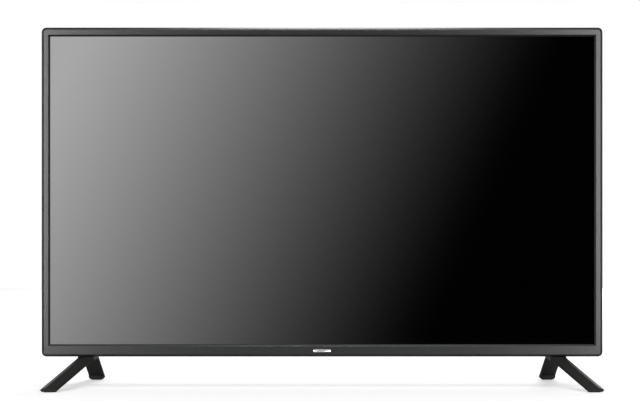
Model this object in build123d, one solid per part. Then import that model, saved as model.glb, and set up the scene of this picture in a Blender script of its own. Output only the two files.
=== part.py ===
from build123d import *
import os
from math import cos, pi, radians, sin, tan

# A flat screen television of the 42 inch class on two splayed feet.
# Millimetres. X runs to the right seen from the front, Y from front to back, Z up.
# The origin is on the table, in the middle of the space that the set and its feet take.

# Picture opening and the borders round it
opening_width = 933.0
opening_height = 528.0
side_border = 14.0
top_border = 15.0
bottom_border = 20.7
set_depth = 55.5
corner_radius = 8.0
thin_depth = 40.0

# Stand
ground_gap = 52.2
stand_depth = 193.0
face_setback = 75.0

# Clearances and cutting
fit_gap = 0.2
slide_gap = 0.1
overrun = 3.0

# Outer frame, the dark edge round the front
frame_wall = 2.6
frame_setback = 0.6
frame_back = 14.0
frame_bevel = 2.2

# Front bezel
bezel_thickness = 2.2
bezel_rim_wall = 2.0
bezel_rim_depth = 11.0
bezel_slope_width = 2.6
bezel_slope_depth = 3.0
bezel_lip_width = 5.4
bezel_lip_thickness = 1.2
bezel_bevel = 1.0

# Plain bar on the lower border
badge_length = 30.0
badge_height = 5.0
badge_thickness = 0.8
badge_recess = 0.4

# Window for the remote control's receiver, set in the dark edge
window_length = 34.0
window_height = 1.8
window_depth = 5.0

# Foam strip and picture panel
foam_thickness = 0.8
foam_width = 3.0
foam_inset = 0.7
cell_overlap = 4.0
cell_thickness = 1.4

# Guide panel, the plastic frame that holds the picture panel and the sheets
guide_rim_gap = 0.5
guide_floor_gap = 3.7
guide_shelf = 2.0
guide_shelf_inset = 0.5

# Sheets, diffuser and reflector
sheet_overlap = 6.0
sheet_thickness = 0.8
diffuser_thickness = 1.5
reflector_thickness = 0.6
reflector_slope = 30.0
reflector_flange = 5.0
sheet_gap = 0.4

# Steel chassis
steel_thickness = 0.8
chassis_back = 35.0
chassis_step = 4.0
chassis_gap = 2.0
stud_radius = 3.5
stud_height = 5.0

# Light bars, one long and one short in each row
light_rows = 4
long_bar_lights = 5
short_bar_lights = 4
bar_width = 14.0
bar_thickness = 1.0
bar_end = 26.0
chip_side = 3.4
chip_height = 0.8
lens_radius = 8.5
lens_height = 6.0
lens_dome = 2.2
lens_hollow_radius = 4.5
lens_hole_gap = 0.5

# Posts that keep the diffuser flat
post_columns = 4
post_rows = 3
post_foot_radius = 6.0
post_tip_radius = 1.5

# Wall mount rails and their nuts
mount_spacing = 200.0
mount_rise = 255.0
rail_width = 32.0
rail_length = 236.0
rail_web = 16.0
rail_sheet = 1.5
nut_collar_radius = 7.0
nut_shank_radius = 5.0
nut_length = 13.0
nut_proud = 1.8
nut_thread_radius = 3.0
nut_thread_depth = 11.0

# Rear cover
cover_wall = 2.0
cover_inset = 1.5
cover_corner = 6.5
plateau_slope = 12.0
plateau_bevel = 1.5
plateau_corner = 8.0
plateau_top_gap = 5.0
notch_margin = 14.0
notch_height = 128.0
inlet_notch_height = 66.0
pocket_height = 56.0
pocket_margin = 10.0
plate_thickness = 1.5
plate_frame = 4.0
plate_gap = 0.3

# Vents and sound slots in the rear cover
vent_width = 3.0
vent_height = 24.0
vent_pitch = 9.6
vent_count = 60
vent_row_gap = 9.0
upper_vent_count = 36
upper_vent_drop = 62.0
sound_slot_width = 2.2
sound_slot_pitch = 4.6
sound_slot_length = 13.0

# Screws
cover_screw_radius = 1.5
cover_screw_head_radius = 3.0
cover_screw_head_height = 1.6
cover_boss_radius = 4.0
cover_screw_bite = 0.8
cover_screw_inset = 34.0
cover_screw_columns = 4
cover_screw_rows = 2
rail_screw_offset = 30.0
board_screw_radius = 1.4
board_screw_head_radius = 2.8
board_screw_head_height = 1.4
board_screw_length = 4.0
stand_screw_radius = 1.95
stand_screw_head_radius = 3.8
stand_screw_head_height = 2.4
stand_screw_length = 16.0
stand_screw_spacing = 20.0

# Boards
board_thickness = 1.6
board_rise = 165.0
board_gap = 20.0
board_edge_gap = 0.5
main_board_width = 210.0
main_board_height = 180.0
power_board_width = 200.0
power_board_height = 160.0
board_screw_inset = 6.0
chip_lid_height = 2.0
processor_side = 31.0
memory_length = 13.0
memory_width = 9.0
tuner_length = 36.0
tuner_width = 22.0
tuner_height = 7.0
flash_side = 8.0
sink_side = 44.0
sink_base = 2.0
sink_height = 7.0
sink_fins = 8
sink_fin_thickness = 1.0

# Sockets on the main board
hdmi_length = 15.0
hdmi_height = 5.6
hdmi_depth = 12.0
hdmi_wall = 0.5
hdmi_tongue = 1.2
hdmi_tongue_setback = 1.5
usb_length = 13.4
usb_height = 6.0
usb_depth = 14.0
usb_wall = 0.45
usb_tongue = 1.9
jack_side = 7.0
jack_depth = 14.0
jack_bore_radius = 1.8
jack_bore_length = 12.0
lan_length = 16.0
lan_height = 10.6
lan_depth = 17.0
lan_cavity_length = 11.9
lan_cavity_height = 7.6
lan_cavity_depth = 13.0
lan_latch_length = 6.2
lan_latch_height = 1.5
phono_block = 10.4
phono_depth = 8.0
phono_ring_radius = 4.15
phono_ring_length = 9.0
phono_bore_radius = 1.6
phono_pitch = 12.0
coax_block = 10.6
coax_depth = 9.0
coax_radius = 4.7
coax_length = 10.0
coax_bore_radius = 0.8

# Power board parts and the mains inlet
transformer_length = 38.0
transformer_width = 30.0
winding_width = 22.0
core_height = 10.4
core_length = 22.0
winding_height = 7.6
choke_length = 24.0
choke_width = 20.0
capacitor_radius = 5.2
capacitor_length = 32.0
power_sink_length = 56.0
power_sink_width = 9.0
power_sink_height = 10.0
power_sink_plate = 2.0
inlet_length = 21.0
inlet_depth = 19.0
inlet_cavity_length = 16.4
inlet_cavity_height = 8.9
inlet_cavity_depth = 14.0
inlet_flange = 2.0
inlet_flange_thickness = 1.5
inlet_pin_radius = 1.2
inlet_pin_spacing = 8.6
inlet_pin_length = 12.0
inlet_pin_root = 2.5

# Timing board, source boards and ribbons
timing_width = 150.0
timing_height = 52.0
timing_rise = 38.0
timing_stud = 3.0
timing_lid_margin = 9.0
timing_lid_height = 3.0
timing_lid_sheet = 0.5
source_board_depth = 12.0
source_board_thickness = 1.2
source_board_inner = 26.0
source_board_front = 15.5
film_thickness = 0.3
film_width = 38.0
film_count = 3
film_drop = 1.4
ribbon_thickness = 0.4
ribbon_width = 30.0
ribbon_lift = 1.0
ribbon_place = 45.0

# Cables held inside and their plugs
cable_depth = 44.2
cable_radius = 1.8
cable_bend = 3.0
cable_lane = 4.5
cable_pitch = 5.2
plug_length = 9.0
plug_width = 5.0
plug_inset = 8.0
plug_pitch = 16.0
first_plug_rise = 22.0
power_drop = 37.0
power_plug_inset = 37.0
timing_plug_place = 42.0
panel_drop = 14.0
keys_drop = 6.0
key_plug_place = 18.0
lamp_plug_inset = 120.0
lamp_cable_reach = 20.0
thin_wire_radius = 0.9
thin_wire_bend = 2.0
speaker_wire_lane = 8.0
speaker_plug_inset = 24.0

# Receiver board behind the window in the lower edge
receiver_length = 32.0
receiver_front = 2.8
receiver_depth = 8.0
receiver_eye_length = 6.0
receiver_eye_depth = 4.4
receiver_eye_drop = 1.7
receiver_board_thickness = 1.0

# Speakers
speaker_length = 104.0
speaker_high = 84.0
speaker_thick = 17.0
speaker_wall = 1.5
speaker_floor_gap = 0.3
speaker_bracket_gap = 12.0
driver_length = 92.0
driver_thick = 13.4
driver_high = 16.0
driver_wall = 1.4
cone_length = 76.0
cone_thick = 8.4
cone_high = 3.0
cone_sheet = 0.6
surround_gap = 0.3
surround_thickness = 0.5
surround_rise = 3.4
coil_outer = 3.9
coil_inner = 3.5
coil_high = 10.0
magnet_outer = 5.7
pole_radius = 3.0
magnet_cup = 1.4
magnet_high = 8.0

# Joystick button and its board
joystick_depth = 43.0
key_board_length = 50.0
key_board_width = 15.0
key_board_thickness = 1.2
key_board_rise = 19.0
switch_side = 12.6
switch_wall = 1.3
switch_high = 8.0
pivot_drop = 5.0
gimbal_outer = 4.4
gimbal_inner = 3.0
gimbal_thickness = 2.0
trunnion_radius = 0.7
trunnion_reach = 0.9
stem_radius = 1.3
stem_pin_radius = 0.6
stem_length = 9.5
cap_radius = 5.5
cap_low = 2.2
cap_rim = 0.8
cap_overlap = 3.6
cap_bore_gap = 0.1
press_travel = 0.5
tilt_degrees = 6.0
cap_hole_gap = 0.6
bridge_thickness = 1.5
bridge_reach = 8.0
bridge_grip = 4.0

# Brackets over the feet
bracket_width = 50.0
bracket_high = 50.0
bracket_sheet = 2.0
bracket_tab = 3.0
bracket_nut_radius = 4.5
bracket_nut_height = 2.6
bracket_front = 20.0
bracket_side_gap = 1.0

# Feet
foot_inset = 75.3
tip_outset = 51.3
rear_splay = 4.0
neck_back = 3.0
leg_width = 27.2
rear_leg_width = 27.6
leg_height = 7.6
tip_height = 8.0
tip_cut = 3.4
outer_facet_drop = 3.6
inner_facet_drop = 2.5
ridge_share = 0.36
leg_edge_radius = 1.2
saddle_front = 0.8
neck_gap = 0.5
toe_length = 10.0
sole_height = 1.0
pad_inset = 2.0
pad_pocket = 1.0
counterbore_depth = 3.0
counterbore_gap = 0.6

# Places worked out from the sizes above
set_width = opening_width + 2 * side_border
set_height = opening_height + top_border + bottom_border
half_width = set_width / 2
face_y = -stand_depth / 2 + face_setback
opening_low = bottom_border
opening_high = bottom_border + opening_height
half_opening = opening_width / 2
lip_back = bezel_slope_depth + bezel_lip_thickness
cell_front = lip_back + foam_thickness
cell_back = cell_front + cell_thickness
shelf_back = cell_back + guide_shelf
guide_inset = frame_wall + fit_gap + bezel_rim_wall + guide_rim_gap
guide_low = guide_inset + guide_floor_gap
receiver_rise = frame_wall + fit_gap + bezel_rim_wall
diffuser_front = shelf_back + sheet_thickness
diffuser_back = diffuser_front + diffuser_thickness
flange_back = diffuser_back + reflector_thickness
guide_back = flange_back + steel_thickness
chassis_front = flange_back
floor_front = chassis_back - steel_thickness
bar_front = floor_front - bar_thickness
reflector_floor = bar_front - reflector_thickness
chip_front = bar_front - chip_height
lens_front = bar_front - lens_height
plateau_inside = set_depth - cover_wall
thin_inside = thin_depth - cover_wall
cover_floor = cover_inset + cover_wall
board_front = chassis_back + stud_height
board_back = board_front + board_thickness
rail_x = mount_spacing / 2
board_inner = rail_x + rail_width / 2 + board_gap
timing_high = timing_rise + timing_height
timing_seat = chassis_back + timing_stud + board_thickness
main_outer = board_inner + main_board_width
power_outer = board_inner + power_board_width
jack_face = main_outer + board_edge_gap + cover_wall
inlet_face = power_outer + board_edge_gap + cover_wall
main_top = board_rise + main_board_height
power_top = board_rise + power_board_height
pocket_top = board_rise - cover_wall - board_edge_gap
pocket_low = pocket_top - pocket_height
plateau_top = mount_rise + rail_length / 2 + plateau_slope + cover_wall + plateau_top_gap
foot_x = half_width - foot_inset
bracket_outer = foot_x + bracket_width / 2 + bracket_side_gap
plateau_half = bracket_outer + plateau_slope + plateau_corner + cover_wall
speaker_outer = foot_x - bracket_width / 2 - speaker_bracket_gap
speaker_inner = speaker_outer - speaker_length
speaker_low = cover_floor + speaker_floor_gap
sheet_half = half_opening + sheet_overlap
sheet_low = opening_low - sheet_overlap
sheet_high = opening_high + sheet_overlap
chassis_half = sheet_half - chassis_step
chassis_low = sheet_low + chassis_step
chassis_high = sheet_high - chassis_step
shoulder_half = chassis_half + chassis_gap + cover_wall
shoulder_high = chassis_high + chassis_gap + cover_wall
pivot_rise = key_board_rise - pivot_drop


def behind(distance):
    # World Y of a place this far behind the front face of the set
    return face_y + distance


def above(rise):
    # World Z of a place this far above the underside of the set
    return ground_gap + rise


def block(left, right, front, back, low, high):
    # A box between two X values, two depths and two rises
    middle = Pos((left + right) / 2, behind((front + back) / 2), above((low + high) / 2))
    return middle * Box(right - left, back - front, high - low)


def section(half, low, high, radius, distance):
    # A rounded rectangle that faces the back, this far behind the front face
    plane = Plane(
        origin=(0, behind(distance), above((low + high) / 2)), x_dir=(1, 0, 0), z_dir=(0, 1, 0)
    )
    if radius > 0:
        return plane * RectangleRounded(2 * half, high - low, radius)
    return plane * Rectangle(2 * half, high - low)


def slab(half, low, high, radius, front, back):
    return extrude(section(half, low, high, radius, front), amount=back - front)


def taper(*sections):
    return loft(list(sections), ruled=True)


def rod_y(x, rise, radius, front, back):
    middle = Pos(x, behind((front + back) / 2), above(rise))
    return middle * Rot(90, 0, 0) * Cylinder(radius, back - front)


def cone_y(x, rise, front_radius, back_radius, front, back):
    middle = Pos(x, behind((front + back) / 2), above(rise))
    return middle * Rot(90, 0, 0) * Cone(back_radius, front_radius, back - front)


def rod_x(left, right, distance, rise, radius):
    middle = Pos((left + right) / 2, behind(distance), above(rise))
    return middle * Rot(0, 90, 0) * Cylinder(radius, right - left)


def rod_z(x, distance, radius, low, high):
    return Pos(x, behind(distance), above((low + high) / 2)) * Cylinder(radius, high - low)


def group(pieces):
    # Separate solids under one name
    return Compound([solid for piece in pieces for solid in piece.solids()])


def both_sides(piece):
    return [piece, mirror(piece, about=Plane.YZ)]


def spread(count, low, high):
    # Places of a row of equal cells between two limits
    step = (high - low) / count
    return [low + step * (index + 0.5) for index in range(count)]


def frame_outside():
    # The outer frame's form with its bevelled front edge, before it is hollowed
    low, high = frame_bevel, set_height - frame_bevel
    front = taper(
        section(half_width - frame_bevel, low, high, corner_radius - frame_bevel, frame_setback),
        section(half_width, 0, set_height, corner_radius, frame_setback + frame_bevel),
    )
    bevel_end = frame_setback + frame_bevel
    return front + slab(half_width, 0, set_height, corner_radius, bevel_end, frame_back)


def outer_frame():
    hole = slab(
        half_width - frame_wall,
        frame_wall,
        set_height - frame_wall,
        corner_radius - frame_wall,
        -overrun,
        frame_back + overrun,
    )
    window = block(
        -window_length / 2 - fit_gap,
        window_length / 2 + fit_gap,
        -overrun,
        frame_setback + window_depth,
        -overrun,
        window_height + fit_gap,
    )
    return frame_outside() - hole - window


def receiver_window():
    window = block(
        -window_length / 2,
        window_length / 2,
        frame_setback,
        frame_setback + window_depth,
        0,
        window_height + fit_gap,
    )
    return window & frame_outside()


def receiver_eye(grow, drop):
    # The dark receiver that looks down through the bezel, or with a grow and a drop the hole for it
    half = receiver_eye_length / 2 + grow
    front = receiver_front - grow
    back = receiver_front + receiver_eye_depth + grow
    low = receiver_rise - receiver_eye_drop - drop
    return block(-half, half, front, back, low, receiver_rise + grow)


def receiver_board():
    half = receiver_length / 2
    high = receiver_rise + receiver_board_thickness
    board = block(-half, half, receiver_front, receiver_front + receiver_depth, receiver_rise, high)
    return board + receiver_eye(0, 0)


def bezel_outline(inset, radius_inset, front, back):
    gap = frame_wall + fit_gap + inset
    radius = corner_radius - frame_wall - fit_gap - radius_inset
    return slab(half_width - gap, gap, set_height - gap, radius, front, back)


def front_bezel():
    gap = frame_wall + fit_gap
    radius = corner_radius - gap
    edge = gap + bezel_bevel
    face = taper(
        section(half_width - edge, edge, set_height - edge, radius - bezel_bevel, 0),
        section(half_width - gap, gap, set_height - gap, radius, bezel_bevel),
    )
    face += bezel_outline(0, 0, bezel_bevel, bezel_thickness)
    rim = bezel_outline(0, 0, bezel_thickness, bezel_rim_depth)
    rim -= bezel_outline(bezel_rim_wall, bezel_rim_wall, 0, bezel_rim_depth + overrun)
    lip = slab(
        half_opening + bezel_lip_width,
        opening_low - bezel_lip_width,
        opening_high + bezel_lip_width,
        0,
        bezel_thickness,
        lip_back,
    )
    slope = taper(
        section(
            half_opening + bezel_slope_width,
            opening_low - bezel_slope_width,
            opening_high + bezel_slope_width,
            0,
            0,
        ),
        section(half_opening, opening_low, opening_high, 0, bezel_slope_depth),
    )
    opening = slab(half_opening, opening_low, opening_high, 0, -overrun, lip_back + overrun)
    bezel = face + rim + lip - slope - opening
    return bezel - badge_shape(0, badge_recess, fit_gap) - receiver_eye(fit_gap, overrun)


def badge_shape(front, back, grow):
    rise = frame_wall + (bottom_border - bezel_slope_width - frame_wall) / 2
    half_bar = badge_height / 2 + grow
    plane = Plane(origin=(0, behind(front), above(rise)), x_dir=(1, 0, 0), z_dir=(0, 1, 0))
    bar = plane * RectangleRounded(badge_length + 2 * grow, 2 * half_bar, half_bar - slide_gap)
    return extrude(bar, amount=back - front)


def badge_bar():
    return badge_shape(badge_recess - badge_thickness, badge_recess, 0)


def foam_strip():
    inner = foam_inset
    outer = inner + foam_width
    outside = slab(
        half_opening + outer,
        opening_low - outer,
        opening_high + outer,
        0,
        lip_back,
        cell_front,
    )
    inside = slab(
        half_opening + inner, opening_low - inner, opening_high + inner, 0, 0, cell_front + overrun
    )
    return outside - inside


def picture_panel():
    return slab(
        half_opening + cell_overlap,
        opening_low - cell_overlap,
        opening_high + cell_overlap,
        0,
        cell_front,
        cell_back,
    )


def guide_panel():
    outer = guide_inset
    corner = corner_radius - outer
    body = slab(half_width - outer, guide_low, set_height - outer, corner, cell_front, guide_back)
    seat_gap = cell_overlap + fit_gap
    cell_seat = block(
        -half_opening - seat_gap,
        half_opening + seat_gap,
        -overrun,
        cell_back,
        -overrun,
        opening_high + seat_gap,
    )
    view = slab(
        half_opening + guide_shelf_inset,
        opening_low - guide_shelf_inset,
        opening_high + guide_shelf_inset,
        0,
        0,
        guide_back + overrun,
    )
    sheet_seat = slab(
        sheet_half + sheet_gap,
        sheet_low - sheet_gap,
        sheet_high + sheet_gap,
        0,
        shelf_back,
        guide_back + overrun,
    )
    return body - cell_seat - view - sheet_seat


def light_sheets():
    return slab(sheet_half, sheet_low, sheet_high, 0, shelf_back, diffuser_front)


def diffuser_plate():
    return slab(sheet_half, sheet_low, sheet_high, 0, diffuser_front, diffuser_back)


def light_places():
    # X and rise of every lamp, row by row, with the bar that carries it
    columns = spread(long_bar_lights + short_bar_lights, -chassis_half, chassis_half)
    rows = spread(light_rows, chassis_low, chassis_high)
    places = []
    for number, rise in enumerate(rows):
        first = long_bar_lights if number % 2 == 0 else short_bar_lights
        places.append((rise, columns[:first], columns[first:]))
    return places


def reflector_tray():
    inset = reflector_flange + reflector_slope
    flange = slab(sheet_half, sheet_low, sheet_high, 0, diffuser_back, flange_back)

    def bowl(grow, front, back):
        mouth = reflector_flange - grow
        floor = inset - grow
        return taper(
            section(sheet_half - mouth, sheet_low + mouth, sheet_high - mouth, 0, front),
            section(sheet_half - floor, sheet_low + floor, sheet_high - floor, 0, back),
        )

    outside = bowl(reflector_thickness, diffuser_back, bar_front)
    inside = bowl(0, diffuser_back, reflector_floor)
    holes = []
    for rise, *bars in light_places():
        for x in [place for bar in bars for place in bar]:
            radius = lens_radius + lens_hole_gap
            holes.append(rod_y(x, rise, radius, reflector_floor - overrun, chassis_back))
    return flange + outside - inside - holes


def light_bars():
    bars = []
    for rise, *pair in light_places():
        for places in pair:
            end = bar_end
            left, right = places[0] - end, places[-1] + end
            low, high = rise - bar_width / 2, rise + bar_width / 2
            bars.append(block(left, right, bar_front, floor_front, low, high))
    return group(bars)


def each_light():
    return [(x, rise) for rise, *pair in light_places() for bar in pair for x in bar]


def light_chips():
    half = chip_side / 2
    return group(
        block(x - half, x + half, chip_front, bar_front, rise - half, rise + half)
        for x, rise in each_light()
    )


def light_lenses():
    lenses = []
    for x, rise in each_light():
        shoulder = lens_front + lens_dome
        lens = rod_y(x, rise, lens_radius, shoulder, bar_front)
        lens += cone_y(x, rise, lens_hollow_radius, lens_radius, lens_front, shoulder)
        hollow = rod_y(x, rise, lens_hollow_radius, chip_front - chip_height, bar_front + overrun)
        lenses.append(lens - hollow)
    return group(lenses)


def diffuser_posts():
    columns = spread(long_bar_lights + short_bar_lights, -chassis_half, chassis_half)
    rows = spread(light_rows, chassis_low, chassis_high)
    middle = len(columns) / post_columns
    chosen = [columns[int(index * middle)] for index in range(post_columns)]
    half_step = (columns[1] - columns[0]) / 2
    posts = []
    for number in range(post_rows):
        rise = (rows[number] + rows[number + 1]) / 2
        for x in chosen:
            posts.append(
                cone_y(
                    x + half_step,
                    rise,
                    post_tip_radius,
                    post_foot_radius,
                    diffuser_back,
                    reflector_floor,
                )
            )
    return group(posts)


def board_stud_places(left, right, low, high):
    inset = board_screw_inset
    middle = (left + right) / 2
    return [
        (x, rise)
        for x in (left + inset, middle, right - inset)
        for rise in (low + inset, high - inset)
    ]


def main_studs():
    return board_stud_places(-main_outer, -board_inner, board_rise, main_top)


def power_studs():
    return board_stud_places(board_inner, power_outer, board_rise, power_top)


def timing_studs():
    inset = board_screw_inset
    half = timing_width / 2 - inset
    rises = (timing_rise + inset, timing_rise + timing_height - inset)
    return [(x, rise) for x in (-half, half) for rise in rises]


def back_chassis():
    flange = slab(sheet_half, sheet_low, sheet_high, 0, chassis_front, guide_back)
    walls = slab(chassis_half, chassis_low, chassis_high, 0, guide_back, chassis_back)
    inner = steel_thickness
    hollow = slab(
        chassis_half - inner, chassis_low + inner, chassis_high - inner, 0, 0, floor_front
    )
    studs = []
    holes = []
    bore = board_screw_radius + slide_gap
    for x, rise in main_studs() + power_studs():
        studs.append(rod_y(x, rise, stud_radius, chassis_back, board_front))
        holes.append(rod_y(x, rise, bore, chassis_back, board_front + overrun))
    for x, rise in timing_studs():
        studs.append(rod_y(x, rise, stud_radius, chassis_back, chassis_back + timing_stud))
        holes.append(rod_y(x, rise, bore, floor_front + steel_thickness / 2, board_front))
    for x, rise in cover_screw_places():
        holes.append(rod_y(x, rise, cover_screw_radius + slide_gap, 0, chassis_back + overrun))
    return flange + walls + studs - hollow - holes


def cover_screw_places():
    # Screws round the thin rim of the rear cover
    side = half_width - cover_screw_inset
    top = set_height - cover_screw_inset
    places = [(x, top) for x in spread(cover_screw_columns, -half_width, half_width)]
    for rise in spread(cover_screw_rows, plateau_top, set_height):
        places += [(-side, rise), (side, rise)]
    return places


def rail_screw_places():
    low = mount_rise - rail_screw_offset
    high = mount_rise + rail_screw_offset
    return [(x, rise) for x in (-rail_x, rail_x) for rise in (low, high)]


def mount_places():
    low = mount_rise - mount_spacing / 2
    high = mount_rise + mount_spacing / 2
    return [(x, rise) for x in (-rail_x, rail_x) for rise in (low, high)]


def wall_rails():
    rails = []
    low, high = mount_rise - rail_length / 2, mount_rise + rail_length / 2
    for x in (-rail_x, rail_x):
        half, web = rail_width / 2, rail_web / 2
        sheet = rail_sheet
        rail = block(x - half, x + half, chassis_back, chassis_back + sheet, low, high)
        rail += block(x - web, x + web, chassis_back, plateau_inside, low, high)
        inside = web - sheet
        rail -= block(
            x - inside,
            x + inside,
            chassis_back - overrun,
            plateau_inside - sheet,
            low - overrun,
            high + overrun,
        )
        rails.append(rail)
    holes = [
        rod_y(x, rise, nut_shank_radius + slide_gap, chassis_back + rail_sheet, set_depth)
        for x, rise in mount_places()
    ]
    holes += [
        rod_y(x, rise, cover_screw_radius + slide_gap, chassis_back + rail_sheet, set_depth)
        for x, rise in rail_screw_places()
    ]
    return group([group(rails) - holes])


def wall_nuts():
    nuts = []
    for x, rise in mount_places():
        top = plateau_inside + nut_proud
        nut = rod_y(x, rise, nut_collar_radius, plateau_inside, top)
        nut += rod_y(x, rise, nut_shank_radius, top - nut_length, plateau_inside)
        nut -= rod_y(x, rise, nut_thread_radius, top - nut_thread_depth, top + overrun)
        nuts.append(nut)
    return group(nuts)


def cover_outside():
    edge = cover_inset
    thin = taper(
        section(half_width - edge, edge, set_height - edge, cover_corner, frame_back),
        section(shoulder_half, edge, shoulder_high, cover_corner, thin_depth),
    )
    return thin + plateau(0, thin_depth, set_depth)


def plateau(shrink, front, back):
    # The raised middle of the rear cover, or with a shrink the room inside it
    half = plateau_half - shrink
    top = plateau_top - shrink
    low = cover_inset + shrink
    slope = plateau_slope
    bevel = plateau_bevel
    radius = plateau_corner - shrink
    return taper(
        section(half, low, top, radius, front - cover_wall),
        section(half - slope, low, top - slope, radius, back - bevel),
        section(half - slope - bevel, low + bevel, top - slope - bevel, radius - bevel, back),
    )


def cover_room():
    edge = cover_inset + cover_wall
    thin = taper(
        section(half_width - edge, edge, set_height - edge, cover_corner - cover_wall, frame_back),
        section(
            shoulder_half - cover_wall,
            edge,
            shoulder_high - cover_wall,
            cover_corner - cover_wall,
            thin_inside,
        ),
    )
    mouth = slab(
        half_width - edge,
        edge,
        set_height - edge,
        cover_corner - cover_wall,
        frame_back - overrun,
        frame_back,
    )
    return thin + mouth + plateau(cover_wall, thin_inside, plateau_inside)


def side_notch(grow):
    return block(
        -half_width,
        -jack_face + grow,
        thin_depth - grow,
        set_depth + overrun,
        board_rise + notch_margin - grow,
        board_rise + notch_margin + notch_height + grow,
    )


def inlet_notch(grow):
    return block(
        inlet_face - grow,
        half_width,
        thin_depth - grow,
        set_depth + overrun,
        board_rise + notch_margin - grow,
        board_rise + notch_margin + inlet_notch_height + grow,
    )


def jack_pocket(grow):
    return block(
        -main_outer + pocket_margin - grow,
        -board_inner - pocket_margin + grow,
        thin_depth - grow,
        set_depth + overrun,
        pocket_low - grow,
        pocket_top + grow,
    )


def plate_window(grow):
    # The window in the wall of the side notch, or with a negative grow the plate that fills it
    edge = plate_frame - grow
    low = board_rise + notch_margin + edge
    high = board_rise + notch_margin + notch_height - edge
    return low, high, thin_depth - grow, plateau_inside + grow


def pocket_window(grow):
    edge = plate_frame - grow
    left = -main_outer + pocket_margin + edge
    right = -board_inner - pocket_margin - edge
    return left, right, thin_depth - grow, plateau_inside + grow


def inlet_rise():
    return board_rise + notch_margin + inlet_notch_height / 2


def cover_cuts():
    cuts = []
    low, high, front, back = plate_window(0)
    cuts.append(block(-jack_face - overrun, -jack_face + cover_wall + overrun, front, back, low, high))
    left, right, front, back = pocket_window(0)
    cuts.append(block(left, right, front, back, pocket_top - overrun, pocket_top + cover_wall + overrun))
    rise = inlet_rise()
    half_long = inlet_length / 2 + plate_gap
    left, right = inlet_face - cover_wall - overrun, inlet_face + overrun
    cuts.append(block(left, right, thin_depth, plateau_inside, rise - half_long, rise + half_long))
    start = plateau_inside - overrun
    bore = cover_screw_radius + slide_gap
    for x, rise in mount_places():
        cuts.append(rod_y(x, rise, nut_collar_radius + fit_gap, start, set_depth + overrun))
    for x, rise in rail_screw_places():
        cuts.append(rod_y(x, rise, bore, start, set_depth + overrun))
    for x, rise in cover_screw_places():
        cuts.append(rod_y(x, rise, bore, chassis_back - overrun, set_depth))
    for x, distance in stand_screw_places():
        cuts.append(rod_z(x, distance, stand_screw_radius + fit_gap, -overrun, cover_floor + overrun))
    cuts.append(rod_z(0, joystick_depth, cap_hole(), -overrun, cover_floor + overrun))
    return cuts


def cap_hole():
    lever = pivot_rise - cover_inset + cap_low
    swing = lever * tan(radians(tilt_degrees)) * 2 ** 0.5
    return cap_radius + swing + cap_hole_gap


def vent_row(count, high, front, back):
    first = -vent_pitch * (count - 1) / 2
    half = vent_width / 2
    places = [first + index * vent_pitch for index in range(count)]
    return [block(x - half, x + half, front, back, high - vent_height, high) for x in places]


def vent_slots():
    high = plateau_top - plateau_slope - plateau_bevel - vent_row_gap
    slots = vent_row(vent_count, high, plateau_inside - overrun, set_depth + overrun)
    slots = [slot for slot in slots if abs(abs(slot.center().X) - rail_x) > rail_width / 2]
    high = set_height - upper_vent_drop
    return slots + vent_row(upper_vent_count, high, thin_inside - overrun, thin_depth + overrun)


def sound_slots():
    slots = []
    distance = speaker_centre_depth()
    count = int((cone_length) / sound_slot_pitch)
    for side in (-1, 1):
        centre = side * (speaker_inner + speaker_outer) / 2
        first = centre - sound_slot_pitch * (count - 1) / 2
        for index in range(count):
            x = first + index * sound_slot_pitch
            slots.append(
                block(
                    x - sound_slot_width / 2,
                    x + sound_slot_width / 2,
                    distance - sound_slot_length / 2,
                    distance + sound_slot_length / 2,
                    -overrun,
                    cover_floor + overrun,
                )
            )
    return slots


def rear_cover():
    outside = cover_outside() - side_notch(0) - inlet_notch(0) - jack_pocket(0)
    room = cover_room() - side_notch(cover_wall) - inlet_notch(cover_wall) - jack_pocket(cover_wall)
    cover = outside - room
    bosses = [
        rod_y(x, rise, cover_boss_radius, chassis_back, thin_inside) for x, rise in cover_screw_places()
    ]
    return cover + bosses - cover_cuts() - vent_slots() - sound_slots()


def screw_y(x, rise, radius, head_radius, head_height, seat, tip):
    # A screw driven forwards, with its head behind the seat
    head = rod_y(x, rise, head_radius, seat, seat + head_height)
    drive = rod_y(x, rise, head_radius / 3, seat + head_height / 2, seat + head_height + overrun)
    return head + rod_y(x, rise, radius, tip, seat) - drive


def cover_screws():
    screws = [
        screw_y(
            x,
            rise,
            cover_screw_radius,
            cover_screw_head_radius,
            cover_screw_head_height,
            thin_depth,
            chassis_back - cover_screw_bite,
        )
        for x, rise in cover_screw_places()
    ]
    screws += [
        screw_y(
            x,
            rise,
            cover_screw_radius,
            cover_screw_head_radius,
            cover_screw_head_height,
            set_depth,
            plateau_inside - rail_sheet - cover_screw_bite,
        )
        for x, rise in rail_screw_places()
    ]
    return group(screws)


def holed_board(left, right, low, high, front, thickness, studs):
    board = block(left, right, front, front + thickness, low, high)
    holes = [
        rod_y(x, rise, board_screw_radius + fit_gap, front - overrun, front + thickness + overrun)
        for x, rise in studs
    ]
    return board - holes


def main_board():
    return holed_board(
        -main_outer, -board_inner, board_rise, main_top, board_front, board_thickness, main_studs()
    )


def power_board():
    return holed_board(
        board_inner, power_outer, board_rise, power_top, board_front, board_thickness, power_studs()
    )


def timing_board():
    return holed_board(
        -timing_width / 2,
        timing_width / 2,
        timing_rise,
        timing_rise + timing_height,
        chassis_back + timing_stud,
        board_thickness,
        timing_studs(),
    )


def board_screws():
    screws = []
    for x, rise in main_studs() + power_studs():
        screws.append(
            screw_y(
                x,
                rise,
                board_screw_radius,
                board_screw_head_radius,
                board_screw_head_height,
                board_back,
                board_back - board_screw_length,
            )
        )
    for x, rise in timing_studs():
        seat = timing_seat
        screws.append(
            screw_y(
                x,
                rise,
                board_screw_radius,
                board_screw_head_radius,
                board_screw_head_height,
                seat,
                seat - board_screw_length,
            )
        )
    return group(screws)


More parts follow.
